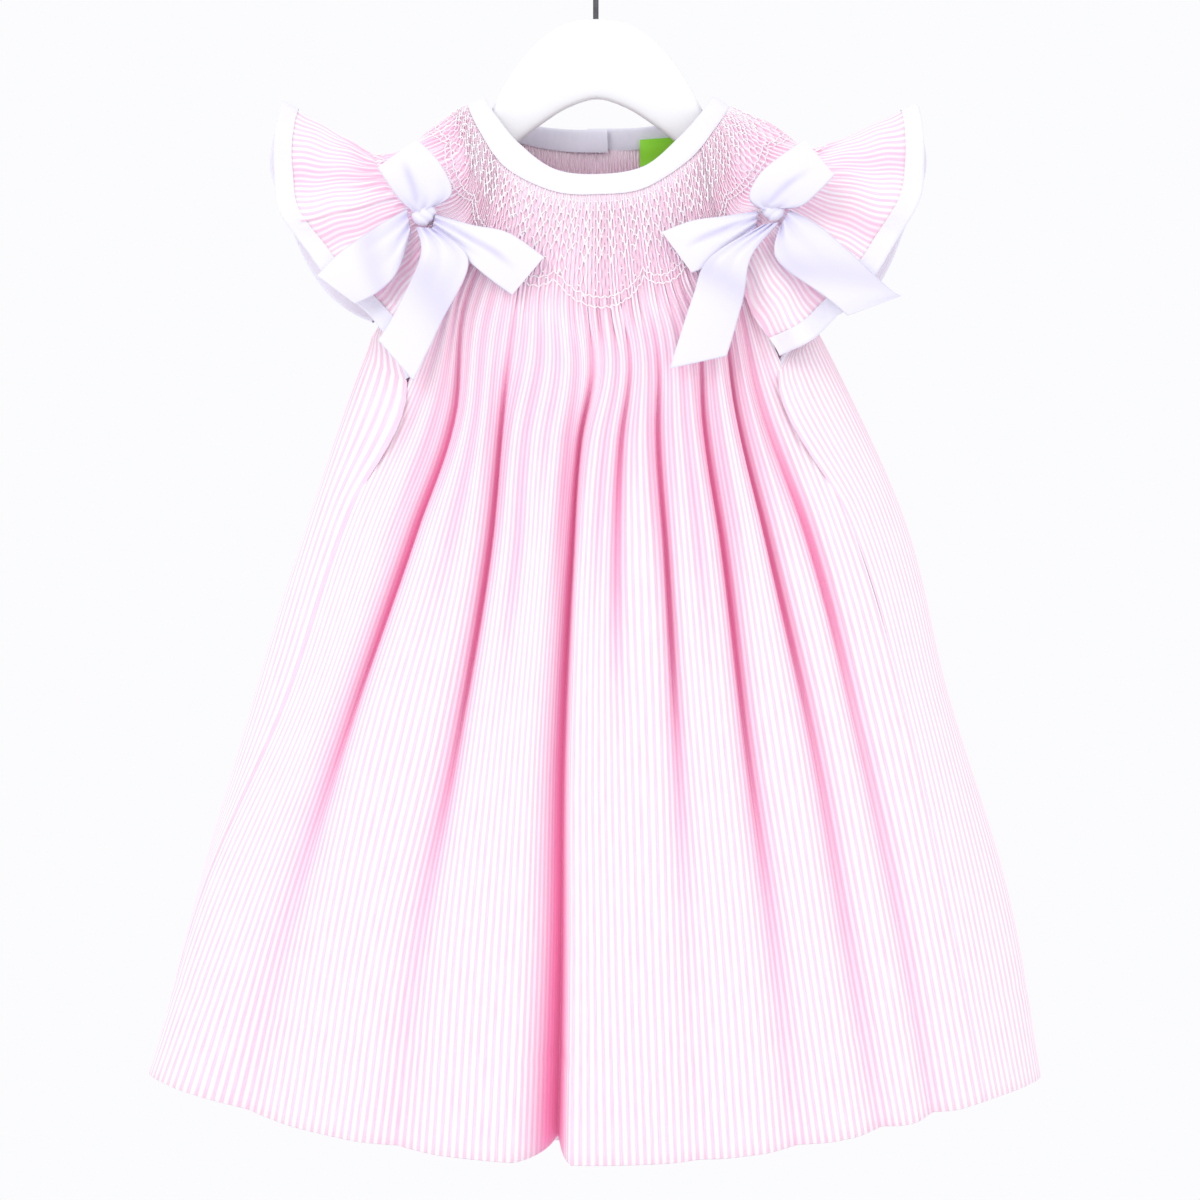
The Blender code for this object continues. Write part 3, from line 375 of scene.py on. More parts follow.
def pleated(base, shares, pleats, edge, towards):
    """Smocking pleats on a grid: ridges by a cosine, drawn together in pairs on every other row of stitches
    and easing out below the last row. Gives the points, the normals and each point's depth between ridges."""
    p = np.linspace(0, pleats, base.shape[1])[None]
    ridge = (0.5 + 0.5 * np.cos(2 * np.pi * p)) ** 0.75
    t = shares[:, None] / edge[None]
    live = (1 - smooth(t, 1.0, 1.5)) * (0.35 + 0.65 * smooth(shares, 0.0, 0.02))[:, None]
    sway = 0.22 * np.cos(np.pi * p) * np.cos(np.pi * t * SMOCK_ROWS) * (1 - smooth(t, 0.95, 1.05))
    n = normals(base, towards)
    drawn = base + np.gradient(base, axis=1) * PER_PLEAT * sway[..., None]
    valley = (1 - ridge) * live * (0.4 + 0.6 * smooth(t, 0.2, 0.9))
    return drawn + n * (PLEAT_HEIGHT * ridge * live)[..., None], n, valley


def run_of(line):
    """Distance along a row of points from its first."""
    return np.concatenate([[0], np.cumsum(np.linalg.norm(np.diff(line, axis=0), axis=1))])


def drift(a, b):
    """Slow unevenness of hung cloth, about -1 to 1: three sines of different slant, still at the seams."""
    sines = np.sin(0.031 * a + 0.012 * b) + np.sin(0.058 * a - 0.021 * b + 1.9)
    sines = sines + np.sin(0.09 * a + 0.034 * b + 4.1)
    return sines / 3 * smooth(np.minimum(a - a.min(), a.max() - a), 0, 30)


def hem_stitches(shares):
    """Where the hem's line of stitches draws the cloth in: 1 on the line and 0 beyond it."""
    return np.exp(-(((shares - 1 + HEM_DEPTH) / 0.0025) ** 2))[:, None]


def hem_turn(grid, n, rows, u, v, fold):
    """The cloth turned up inside at the hem: the last rows again, from the edge up, a small gap in."""
    edge = grid[-1:] - n[-1:] * HEM_GAP / 2
    edge[..., 2] -= 0.4
    inner = grid[rows:][::-1] - n[rows:][::-1] * HEM_GAP
    v_in = 2 * v[-1] - v[rows:][::-1]
    grid = np.concatenate([grid, edge, inner])
    fold = np.concatenate([fold, fold[-1:], fold[rows:][::-1]])
    return grid, np.concatenate([v, v[-1:] + 0.4, v_in + 1]), fold


even = np.linspace(0, 1, FRONT_PLEATS * PER_PLEAT + 1)
column = even * FRONT_COLUMNS
at = eased(column, (0, *[f[0] for f in FRONT_FOLDS], FRONT_COLUMNS), FRONT_STATIONS)
left, middle, right = (np.array(p) for p in GATHER_ROW)
anchors = [(0, left[0])] + [(f[0], f[1][0]) for f in FRONT_FOLDS] + [(FRONT_COLUMNS, right[0])]
x = crowded(column, anchors, [(f[0], 0.25) for f in FRONT_FOLDS])
share = (x - left[0]) / (right[0] - left[0])
row = left + (right - left) * share[:, None]
row += (middle - (left + right) / 2) * (1 - np.abs(2 * share - 1) ** 2.2)[:, None]
row[:, 0] = x
level = np.tile([0.0, 1.0, 0.0], (len(even), 1))
lines, ways = [*yoke_rows(at), row], [level] * 3
depths = [np.zeros(len(even))] * 2 + [sum(f[2][0] * groove(column, f[0], f[3], f[4]) for f in FRONT_FOLDS)]
for k, loop in enumerate(LOOPS):
    half, mid = (loop[3] - loop[2]) / 2, (loop[2] + loop[3]) / 2
    anchors = [(f[0], math.degrees(math.acos((mid - f[1][k + 1]) / half))) for f in FRONT_FOLDS]
    right_overlap = UNDERARM_OVERLAP if loop[0] == "arm" else SEAM_OVERLAP
    anchors = [(0, loop[10] - SEAM_OVERLAP), *anchors, (FRONT_COLUMNS, loop[11] + right_overlap)]
    angle = crowded(column, anchors, [(f[0], 0.72 * min(1, f[2][k + 1] / 12)) for f in FRONT_FOLDS])
    lines.append(loop_point(loop, angle))
    ways.append(loop_inward(loop, angle))
    depths.append(sum(f[2][k + 1] * groove(column, f[0], f[3], f[4]) for f in FRONT_FOLDS))
stations = [0, 0.11, 0.185] + [loop[1] for loop in LOOPS]
shares = np.concatenate([np.linspace(0, 0.15, 56), np.linspace(0.16, 1, 64)])
way = through(ways, stations, shares)
way /= np.linalg.norm(way, axis=2, keepdims=True)
depth = through(np.array(depths)[..., None], stations, shares)[..., 0]
small = gathered(column, shares, FRONT_GATHERS)
base = through(lines, stations, shares) + (depth + small)[..., None] * way
base[..., 2] += 0.3 * (shares**2)[:, None] * depth
flat_u = (run_of(base[-1]) + run_of(base[-20])) / 2
flat_v = shares * CLOTH_LENGTH
base += way * (-1.1 * smooth(shares, 0.25, 0.5)[:, None] * drift(flat_u[None], flat_v[:, None]))[..., None]
front_edge = SMOCK_SHARE * scallop(at)
front, front_n, valley = pleated(base, shares, FRONT_PLEATS, front_edge, (0, -1, 0))
from_seam = np.minimum(flat_u, flat_u[-1] - flat_u)
seam = np.exp(-((from_seam / SEAM_WIDTH) ** 2))[None] * smooth(shares, 0.2, 0.27)[:, None]
front -= front_n * (SEAM_DEPTH * seam + STITCHED_DEPTH * hem_stitches(shares))[..., None]
# Painted shade: deeper pink by how deep the cloth lies in the folds and gathers and between the pleats.
painted_shade = np.clip(depth / 15, 0, 1) ** 1.4 + 0.2 * small + 0.3 * valley
cloth_grid, cloth_v, cloth_painted_shade = hem_turn(front, front_n, -9, flat_u, flat_v, painted_shade)
dress_front = surface("front_cloth", cloth_grid, (0, -1, 0), STRIPED,
                      (flat_u[None], cloth_v[:, None]), cloth_painted_shade)
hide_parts("dress_front")

# Smocking threads: soft white cotton floss worked over the pleats in cable, wave and trellis stitches, with
# two close rows of cable along the scallops. Each stitch is a short floss tube bowed over two pleats.
FLOSS = 0.27


def floss():
    """Matt white cotton floss with a slight bloom, so that stitches catch the light against the pleats."""
    made, tree, shader = finish_of("stranded_cotton_floss", 0.7, Sheen_Weight=0.3, Sheen_Roughness=0.3)
    place = add(tree, "ShaderNodeTexCoord")
    twist = add(tree, "ShaderNodeTexNoise", {"Vector": place.outputs["Object"], "Scale": 1400.0})
    colour_from(tree, shader, twist.outputs[0], "FBF4FA", "FFFFFF")
    return made


FLOSS_LOOK = floss()


def circle(first, second, turn):
    """Unit circles at angles, each in the plane of two unit vectors."""
    return first[:, None] * np.cos(turn)[None, :, None] + second[:, None] * np.sin(turn)[None, :, None]


def stitches(name, starts, stops, out, size):
    """Short closed tubes from each start to its stop, six-sided, thinner at the ends and bowed outwards."""
    starts, stops, out = np.asarray(starts), np.asarray(stops), np.asarray(out)
    along = stops - starts
    length = np.linalg.norm(along, axis=1, keepdims=True)
    along = along / np.maximum(length, 1e-9)
    side = np.cross(along, out)
    side /= np.maximum(np.linalg.norm(side, axis=1, keepdims=True), 1e-9)
    over = np.cross(side, along)
    turn = np.arange(6) * math.pi / 3
    rings = []
    for t, thick, lift in ((0, 0.45, -0.5), (0.22, 1.0, 0.3), (0.78, 1.0, 0.3), (1, 0.45, -0.5)):
        centre = starts + along * length * t + over * lift * size
        rings.append(centre[:, None] + circle(side, over, turn) * thick * size)
    points = np.stack(rings, 1)
    count = len(points)
    index = np.arange(count * 24).reshape(count, 4, 6)
    ahead = np.roll(index, -1, axis=2)
    quads = np.stack([index[:, :-1], ahead[:, :-1], ahead[:, 1:], index[:, 1:]], -1).reshape(-1, 4)
    ends = [index[:, 0, [0, 3, 2, 1]], index[:, 0, [0, 5, 4, 3]]]
    ends += [index[:, 3, [0, 1, 2, 3]], index[:, 3, [0, 3, 4, 5]]]
    faces = np.concatenate([quads, *ends])[:, ::-1]
    return mesh_piece(name, points.reshape(-1, 3), faces, FLOSS_LOOK)


def on_cloth(grid, n, shares, column, share):
    """Points and normals on a grid at whole columns and any shares of the length."""
    row = np.interp(share, shares, np.arange(len(shares)))
    low = np.clip(row.astype(int), 0, len(shares) - 2)
    f = (row - low)[..., None]
    column = np.asarray(column, int)
    return tuple(a[low, column] * (1 - f) + a[low + 1, column] * f for a in (grid, n))


def smocking(name, grid, n, shares, edge, pleats, first=0.05):
    """Stitches over pairs of pleats: rows all over the upper part, slanting links between rows, diamonds in
    the lower part, and two cable rows that follow the scallops."""
    starts, stops, out = [], [], []

    def stitch(i, t_i, j, t_j):
        """Adds a stitch from pleat i at t_i of the smocking's depth to pleat j at t_j, just off the cloth."""
        inside = (np.minimum(i, j) >= 0) & (np.maximum(i, j) <= pleats)
        for places, pleat, t in ((starts, i, t_i), (stops, j, t_j)):
            pleat, t = pleat[inside], np.broadcast_to(t, inside.shape)[inside]
            point, way = on_cloth(grid, n, shares, pleat * PER_PLEAT, t * edge[pleat * PER_PLEAT])
            places.append(point + way * 0.12)
        out.append(way)

    pleat = np.arange(pleats)
    for k in range(1, SMOCK_ROWS):
        t = k / SMOCK_ROWS
        pair = pleat[(pleat + k) % 2 == 0]
        if t < first:
            continue
        if t > 0.55:
            wave = (pair + 2 * k) % 8
            other = (pair - 2 * k) % 8
            pair = pair[(wave < 2) | (other < 2)]
        stitch(pair, t - 0.006, pair + 1, t + 0.006)
        if t < 0.6:
            slant = pair[(pair // 2 + k) % 2 == 0]
            stitch(slant + 1, t, slant + 2, t + 1 / SMOCK_ROWS)
            slant = pair[(pair // 2 + k) % 2 == 1]
            stitch(slant, t, slant - 1, t + 1 / SMOCK_ROWS)
    for t in (0.9, 0.99):
        lean = np.where(pleat % 2 == 0, 0.012, -0.012)
        stitch(pleat, t - lean, pleat + 1, t + lean)
    return stitches(name, np.concatenate(starts), np.concatenate(stops), np.concatenate(out), FLOSS)


front_floss = smocking("front_smocking_thread", front, front_n, shares, front_edge, FRONT_PLEATS)

# Backs: two widths of the same cotton, smocked like the front along the neck, meeting at the centre back and
# seamed to the front at the sides. The open underarm edge runs from the sleeve to the side seam.
BACK_UPPER_ROWS = (
    (0.165, (-64, 17.5, -162), (-62, 18.5, -170.5), (-54, 20, -183), (-42, 20.5, -192), (-28, 21, -198),
     (-14, 21, -202), (0, 21, -203)),
    (0.210, (-90, -3, -194.5), (-93, 8, -198), (-84, 16, -207), (-68, 19.5, -219), (-46, 21, -221),
     (-23, 21.5, -222), (0, 21.5, -222)),
)
# Back folds of one panel: column, depth at the five loops and how many columns each takes on both sides.
BACK_FOLDS = ((9, (0, 3, 6, 5, 3), 2.6), (16, (6, 9, 8, 6, 4), 2.8), (23, (7, 10, 9, 7, 5), 2.8),
              (29, (5, 7, 6, 4, 2), 2.2))
BACK_GATHERS = ((4.2, 1.2, 0.40), (6.6, 1.6, 0.46), (11.4, 2.0, 0.42), (13.6, 2.2, 0.50), (18.4, 2.1, 0.44),
                (20.7, 2.3, 0.52), (25.2, 2.2, 0.46), (27.1, 2.0, 0.40))
BACK_COLUMNS = 32
BACK_PLEATS = 42
BACK_TURN = 1 / 6


def back_panel(side):
    """Half of the back, side -1 or 1, from the side seam to the centre back, by the front's formula."""
    even = np.linspace(0, 1, BACK_PLEATS * PER_PLEAT + 1)
    column = even * BACK_COLUMNS
    raglan = RAGLAN_BACK_LEFT if side < 0 else RAGLAN_BACK_RIGHT
    centre = 0 if side < 0 else 14
    at = raglan + (centre - raglan) * even
    lines = yoke_rows(at)
    for _, *points in BACK_UPPER_ROWS:
        lines.append(spline(np.array(points) * (-side, 1, 1), even * (len(points) - 1)))
    folds = [[f[1][k] * groove(column, f[0], f[2], f[2]) for f in BACK_FOLDS] for k in range(5)]
    depths = [np.zeros(len(even))] * 2 + [0.3 * sum(folds[0]), 0.7 * sum(folds[0])] + [sum(f) for f in folds]
    ways = [np.tile([0.0, -1.0, 0.0], (len(even), 1))] * 4
    for loop in LOOPS:
        seam = (loop[10] if side < 0 else 180 - loop[11]) + SEAM_OVERLAP
        angle = eased(even, (0, BACK_TURN, 1), (seam, min(-0.5, seam - 8), -90 - SEAM_OVERLAP))
        angle = angle if side < 0 else 180 - angle
        lines.append(loop_point(loop, angle))
        ways.append(loop_inward(loop, angle))
    stations = [0, 0.11] + [r[0] for r in BACK_UPPER_ROWS] + [loop[1] for loop in LOOPS]
    shares = np.concatenate([np.linspace(0, 0.15, 56), np.linspace(0.16, 1, 64)])
    way = through(ways, stations, shares)
    way /= np.maximum(np.linalg.norm(way, axis=2, keepdims=True), 1e-9)
    depth = through(np.array(depths)[..., None], stations, shares)[..., 0]
    small = gathered(column, shares, BACK_GATHERS)
    grid = through(lines, stations, shares) + (depth + small)[..., None] * way
    grid[..., 2] += 0.3 * (shares**2)[:, None] * depth
    u = sum(run_of(grid[k]) * u_share for k, u_share in ((-1, 0.35), (-22, 0.35), (-44, 0.35), (-58, 0.35)))
    v = shares * CLOTH_LENGTH
    uneven = smooth(shares, 0.3, 0.5)[:, None] * drift(u[None] + 70 * side, v[:, None])
    grid += way * (-1.1 * uneven)[..., None]
    edge = SMOCK_SHARE * scallop(at)
    grid, n, valley = pleated(grid, shares, BACK_PLEATS, edge, -way)
    seam = np.exp(-((u / SEAM_WIDTH) ** 2))[None] * smooth(shares, 0.24, 0.28)[:, None]
    centre_seam = np.exp(-(((u[-1] - u) / 1.2) ** 2))[None] * smooth(shares, 0.17, 0.2)[:, None]
    grid -= n * (SEAM_DEPTH * seam + 0.5 * centre_seam + STITCHED_DEPTH * hem_stitches(shares))[..., None]
    # Painted shade: deeper pink by how deep the cloth lies in the folds and gathers and between the pleats.
    painted_shade = np.clip(depth / 13, 0, 1) ** 1.4 + 0.2 * small + 0.3 * valley
    name = "left" if side < 0 else "right"
    turned, v_turned, fold = hem_turn(grid, n, -9, u, v, painted_shade)
    way_turned = np.concatenate([-way, -way[-10:]])
    made = surface(f"back_{name}_cloth", turned, way_turned, STRIPED,
                   (u[None], v_turned[:, None]), fold)
    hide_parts(f"back_{name}")
    thread = smocking(f"back_{name}_smocking_thread", grid, n, shares, edge, BACK_PLEATS)
    return grid, n, shares


back_left, back_left_n, back_shares = back_panel(-1)
back_right, back_right_n, _ = back_panel(1)

# Armhole bindings: two narrow strips of white cotton cut on the bias, each rolled over the open underarm
# edge of a back panel, from the sleeve down to the side seam, and sewn through from the front.
BINDING_TURNS = np.radians(np.linspace(-160, 160, 13))


def white_bias():
    """Crisp white cotton cut on the bias, with a faint lavender cast and a fine plain weave."""
    made, tree, shader = finish_of("white_cotton_bias_tape", 0.85, Sheen_Weight=0.1, Sheen_Roughness=0.5)
    place = add(tree, "ShaderNodeTexCoord").outputs["Object"]
    cast = add(tree, "ShaderNodeTexNoise", {"Vector": place, "Scale": 60.0, "Detail": 2.0})
    colour_from(tree, shader, cast.outputs[0], "E7E5F5", "F2F1FA")
    weave = add(tree, "ShaderNodeTexVoronoi", {"Vector": place, "Scale": 1400.0}, distance="CHEBYCHEV")
    relief_from(tree, shader, weave.outputs[0], 0.2, 0.0002)
    return made


BIAS_LOOK = white_bias()


def unit(vectors):
    """The vectors at length 1."""
    return vectors / np.maximum(np.linalg.norm(vectors, axis=-1, keepdims=True), 1e-9)


def picked(at, places, points):
    """Points between those of a line, which lie at the places given."""
    return np.stack([np.interp(at, places, points[:, k]) for k in range(3)], -1)


def armhole_binding(name, grid, n, shares):
    """A rolled strip along a back panel's first column: part of a circle round a path just off its edge."""
    rows = np.linspace(0.168, 0.251, 40)
    edge, inner, way = (picked(rows, shares, a) for a in (grid[:, 0], grid[:, 6], n[:, 0]))
    off = unit(np.cross(way, np.gradient(edge, axis=0)))
    off *= np.sign(np.sum(off * (edge - inner), axis=1, keepdims=True))
    path = edge + off * 1.0 - way * 0.4
    swell = (1.3 + 0.1 * np.sin(rows * 900) * np.sin(rows * 370))[:, None, None]
    ring = circle(off, unit(way), BINDING_TURNS)
    made = surface(name, path[:, None] + ring * swell, ring, BIAS_LOOK)
    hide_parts(name.replace("_strip", ""))


armhole_binding("armhole_binding_left_strip", back_left, back_left_n, back_shares)
armhole_binding("armhole_binding_right_strip", back_right, back_right_n, back_shares)

# Sleeves: two angel sleeves of the striped cotton, smocked with the yoke, shirred on elastic across the
# shoulder and flared below it into a ruffle of deep waves whose hem is edged with bias tape.
SLEEVE_LEFT = (
    ("front_end", -58.3, -29.5, -168.0, -83.2, -26.5, -207.5),
    ("front_low", -67.0, -30.0, -160.0, -96.5, -27.5, -194.5),
    ("front_bow", -74.0, -28.0, -152.2, -117.6, -26.0, -173.5),
    ("front_high", -83.5, -20.0, -142.0, -132.9, -22.0, -152.3),
    ("front_top", -89.6, -11.0, -132.3, -137.8, -14.0, -130.0),
    ("shoulder", -94.0, -1.0, -125.3, -134.4, -2.0, -101.8),
    ("back_top", -90.5, 8.0, -133.5, -139.8, 9.0, -127.0),
    ("back_high", -81.0, 14.5, -147.6, -132.3, 15.0, -153.0),
    ("back_low", -72.5, 18.0, -156.5, -115.0, 17.0, -184.0),
    ("back_end", -67.5, 18.5, -163.0, -96.5, 6.5, -196.0),
)
SLEEVE_RIGHT = (
    ("front_end", 57.8, -29.5, -163.5, 77.8, -27.5, -211.5),
    ("front_low", 64.5, -30.0, -155.5, 96.0, -28.5, -200.5),
    ("front_bow", 71.5, -28.0, -148.0, 117.5, -27.0, -176.5),
    ("front_high", 81.5, -20.0, -138.5, 133.5, -23.0, -151.5),
    ("front_top", 89.0, -11.0, -129.5, 139.8, -14.5, -127.5),
    ("shoulder", 95.7, -1.0, -122.0, 136.4, -2.0, -102.6),
    ("back_top", 91.5, 8.0, -131.0, 141.0, 9.0, -126.0),
    ("back_high", 82.5, 14.5, -145.0, 134.0, 15.0, -152.0),
    ("back_low", 73.0, 18.0, -155.5, 117.0, 17.0, -184.0),
    ("back_end", 67.5, 18.5, -162.0, 97.5, 6.5, -195.0),
)
SLEEVE_PLEATS = 44
RUFFLE_WAVES, RUFFLE_WAVE_HEIGHT = 6.5, 6.0
TAPE_SHARE = 0.924
SHIRR_HIGH, SHIRR_LOW = 0.53, 0.562


def sleeve(side, table, first, last, turn):
    """One sleeve, side -1 or 1: rows from the neck over the smocking and the elastic to the hem, opened by a
    cosine wave that grows to the hem, with fine gathers that fade at uneven lengths below the elastic."""
    name = "left" if side < 0 else "right"
    even = np.linspace(0, 1, SLEEVE_PLEATS * PER_PLEAT + 1)
    at = first + (last - first) * even
    fan = even * (len(table) - 1)
    elastic, hem = (spline([r[k : k + 3] for r in table], fan) for k in (1, 4))
    lines = yoke_rows(at)
    lines += [elastic, elastic + (hem - elastic) * 0.35, hem]
    phase = 2 * math.pi * RUFFLE_WAVES * even + 0.6 * np.sin(5 * even) + turn
    wave = 0.5 - 0.5 * np.cos(phase)
    wave *= np.interp(even, [0, 0.05, 0.5, 0.58, 0.92, 1], [0.2, 1, 0.8, 0.8, 1, 0.1])
    front = np.interp(even, [0, 0.48, 0.62, 1], [-1, -1, 1, 1])
    lean = np.stack([np.full(len(even), 0.25 * side), front, 0 * even], -1)
    away = np.stack([0 * even, front, 0 * even + 0.4], -1)[None]

    def cloth(at_shares):
        """The cloth at shares of the length from the neck to the hem, opened by the waves."""
        open_by = np.interp(at_shares, [0, 0.54, 0.68, 1], [0, 0, 0.35, 1])
        base = through(lines, [0, 0.42, 0.54, 0.68, 1], at_shares)
        lap = smooth(at_shares, 0.5, 0.66) * (1 - smooth(at_shares, 0.8, 1.0))
        lap = lap[:, None] * np.exp(-even / 0.035)[None]
        base = base + lap[..., None] * np.array([-4.5 * side, -2.2, 0])
        return base + RUFFLE_WAVE_HEIGHT * open_by[:, None, None] * (wave[:, None] * lean)[None]

    shares = np.linspace(0, 0.5, 60), np.linspace(0.507, 0.62, 18), np.linspace(0.635, 0.94, 24)
    shares = np.concatenate(shares)
    edge = 0.45 * scallop(at)
    grid, n, valley = pleated(cloth(shares), shares, SLEEVE_PLEATS, edge, away)
    ridge = (0.5 + 0.5 * np.cos(2 * math.pi * SLEEVE_PLEATS * even + 0.9 * np.sin(29 * even)))[None]
    fade = 0.7 + 0.09 * np.sin(19 * even + side) + 0.06 * np.sin(47 * even + 2)
    crimp = smooth(shares, 0.47, 0.53)[:, None] * (1 - smooth(shares[:, None], 0.56, fade[None]))
    line = np.exp(-(((shares[:, None] - np.array([SHIRR_HIGH, SHIRR_LOW])) / 0.006) ** 2)).sum(1)[:, None]
    grid += n * (1.2 * crimp * ridge * (1 - 0.6 * line) - 0.3 * line)[..., None]
    folds = np.sin(phase * 3 + 1.3 * np.sin(11 * even)) * 0.5 + np.sin(phase * 5 + 2) * 0.3
    grid += n * (0.7 * smooth(shares, 0.56, 0.66)[:, None] * (1.2 - shares[:, None]) * folds[None])[..., None]
    open_by = np.interp(shares, [0, 0.54, 0.68, 1], [0, 0, 0.35, 1])[:, None]
    # Painted shade: deeper pink between the smocking pleats, in the shirred crimps and in the hollows of the
    # ruffle's waves.
    painted_shade = 0.35 * valley + 0.45 * crimp * (1 - ridge) + 0.35 * open_by**0.5 * (1 - wave)[None] ** 3
    u, v = run_of(cloth(np.array([0.96, 1.0]))[1]), shares * 105.0
    crinkle = 0.6 * smooth(shares, 0.5, 0.6)[:, None] * np.sin(0.33 * v[:, None] + 0.11 * u[None])
    made = surface(f"sleeve_{name}_cloth", grid, away, STRIPED,
                   (u[None] + crinkle, v[:, None]), painted_shade)
    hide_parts(f"sleeve_{name}")
    thread = smocking(f"sleeve_{name}_smocking_thread", grid, n, shares, edge, SLEEVE_PLEATS)
    pleat = np.arange(SLEEVE_PLEATS)
    high = np.where(pleat % 2 == 0, SHIRR_HIGH, SHIRR_LOW)
    start, way = on_cloth(grid, n, shares, pleat * PER_PLEAT, high)
    stop, _ = on_cloth(grid, n, shares, (pleat + 1) * PER_PLEAT, SHIRR_HIGH + SHIRR_LOW - high)
    zigzag = stitches(f"sleeve_{name}_shirring_thread", start + way * 0.5, stop + way * 0.5, way, 0.24)

    tape = cloth(np.linspace(TAPE_SHARE - 0.002, 1, 9))[:, ::2]
    out = normals(tape, away[:, ::2])
    pucker = 0.12 * (np.sin(1.7 * u[::2]) + np.sin(2.9 * u[::2] + 1))[None] * np.linspace(1, 0.3, 9)[:, None]
    over = tape[-1:] + unit(tape[-1:] - tape[-2:-1]) * 0.35
    rows = np.concatenate([tape + out * (0.6 + pucker)[..., None], over, (tape - out * 0.6)[::-1]])
    faces = np.concatenate([out, tape[-1:] - tape[-2:-1], -out[::-1]])
    band = surface(f"sleeve_{name}_hem_tape", rows, faces, BIAS_LOOK)
    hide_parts(f"sleeve_ribbon_{name}")
    seam = (rows[0] + rows[1]) / 2
    seam_to = seam[:-1] + (seam[1:] - seam[:-1]) * 0.62
    sewn = stitches(f"sleeve_{name}_tape_thread", seam[:-1], seam_to, out[0, :-1], 0.1)
    return made, [thread, zigzag, sewn], band


for side, table, first, last, turn in (
    (-1, SLEEVE_LEFT, RAGLAN_FRONT_LEFT + 0.02, RAGLAN_BACK_LEFT - 0.02, 0.9),
    (1, SLEEVE_RIGHT, RAGLAN_FRONT_RIGHT - 0.02, RAGLAN_BACK_RIGHT + 0.02, 0.2),
):
    cloth, threads, band = sleeve(side, table, first, last, turn)

# Neck binding: a strip of the same bias folded over the gathered neck edge and topstitched along its lower
# edge. Its ends lap at the centre back.
BINDING_SECTION = (
    (1.0, 0.9), (0.97, 1.15), (0.85, 1.25), (0.65, 1.35), (0.45, 1.35), (0.25, 1.25), (0.1, 1.0),
    (0.02, 0.55), (0.0, 0.0), (0.02, -0.55), (0.1, -1.0), (0.3, -1.2), (0.6, -1.2), (0.9, -1.05), (1.0, -0.7),
)
at = np.linspace(-0.19, 14.17, 480)
low, top = (spline([r[k : k + 3] for r in NECK_RING], at, closed=True) for k in (1, 4))
down = unit(low - top)
low = low + down * 0.8
outward = np.stack([top[:, 0], top[:, 1] + 4, np.full(len(at), 20.0)], -1)
n = normals(np.stack([top, low]), np.stack([outward, outward]))[0]
shift = np.interp(at, [-0.19, 0.25, 0.7, 13.3, 13.75, 14.17], [-1.45, -1.3, 0, 0, 1.3, 1.45])
along = run_of((low + top) / 2)
share, height = (np.array(c) for c in zip(*BINDING_SECTION))
pucker = 0.09 * (np.sin(1.45 * along[:, None] + 3 * share) + np.sin(2.3 * along[:, None] - 4 * share + 1))
pucker = pucker * np.sign(height)[None] * np.sin(np.pi * np.clip(share, 0.05, 1))[None]
height = height[None] + shift[:, None] + pucker
rings = top[:, None] + (low - top)[:, None] * share[None, :, None] + n[:, None] * height[..., None]
faces = n[:, None] * np.sign([h for _, h in BINDING_SECTION])[None, :, None]
faces = faces - down[:, None] * (share < 0.05)[None, :, None]
neck_strip = surface("neck_bias_strip", rings, faces, BIAS_LOOK)
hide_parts("neck_binding")
line = top + (low - top) * 0.88 + n * (1.28 + shift)[:, None]
step = np.arange(1.0, along[-1] - 2.5, 2.3)
start, stop, way = picked(step, along, line), picked(step + 1.6, along, line), picked(step, along, n)
neck_thread = stitches("neck_topstitching", start, stop, way, 0.13)

# Bows: two bows of 25 mm white satin ribbon sewn over the ends of the smocking, each with two loops, a
# wrapped knot and two long tails with slanting cut ends.
RIBBON_ROWS, RIBBON_COLUMNS = 44, 25
# Each loop: four stations from the knot out to the fold, x y z of one edge and of the other.
BOW_LOOPS = (
    ("bow_left_loop_upper",
     ((-76.9, -34.2, -151.8), (-70.9, -34.2, -149.3)), ((-83.7, -38.0, -145.9), (-61.6, -37.5, -142.9)),
     ((-89.6, -40.5, -137.8), (-66.7, -40.5, -130.2)), ((-93.1, -40.5, -132.3), (-76.1, -41.0, -120.4))),
    ("bow_left_loop_inner",
     ((-68.6, -34.2, -151.8), (-70.1, -34.4, -158.0)), ((-53.1, -37.0, -156.4), (-56.1, -38.5, -170.5)),
     ((-37.4, -39.5, -160.0), (-45.5, -40.0, -179.5)), ((-22.5, -38.5, -170.1), (-36.1, -38.5, -186.3))),
    ("bow_right_loop_upper",
     ((70.6, -34.3, -150.1), (77.4, -34.3, -149.3)), ((64.6, -37.5, -144.6), (86.7, -38.0, -148.5)),
     ((70.6, -40.5, -133.4), (94.4, -40.5, -142.2)), ((87.9, -41.0, -120.4), (100.7, -41.0, -135.7))),
    ("bow_right_loop_inner",
     ((68.4, -34.3, -150.4), (67.6, -34.4, -157.0)), ((54.4, -37.5, -152.7), (55.2, -38.5, -168.9)),
     ((40.4, -39.5, -154.8), (48.0, -40.0, -173.8)), ((27.6, -38.6, -159.5), (40.4, -38.6, -176.9))),
)
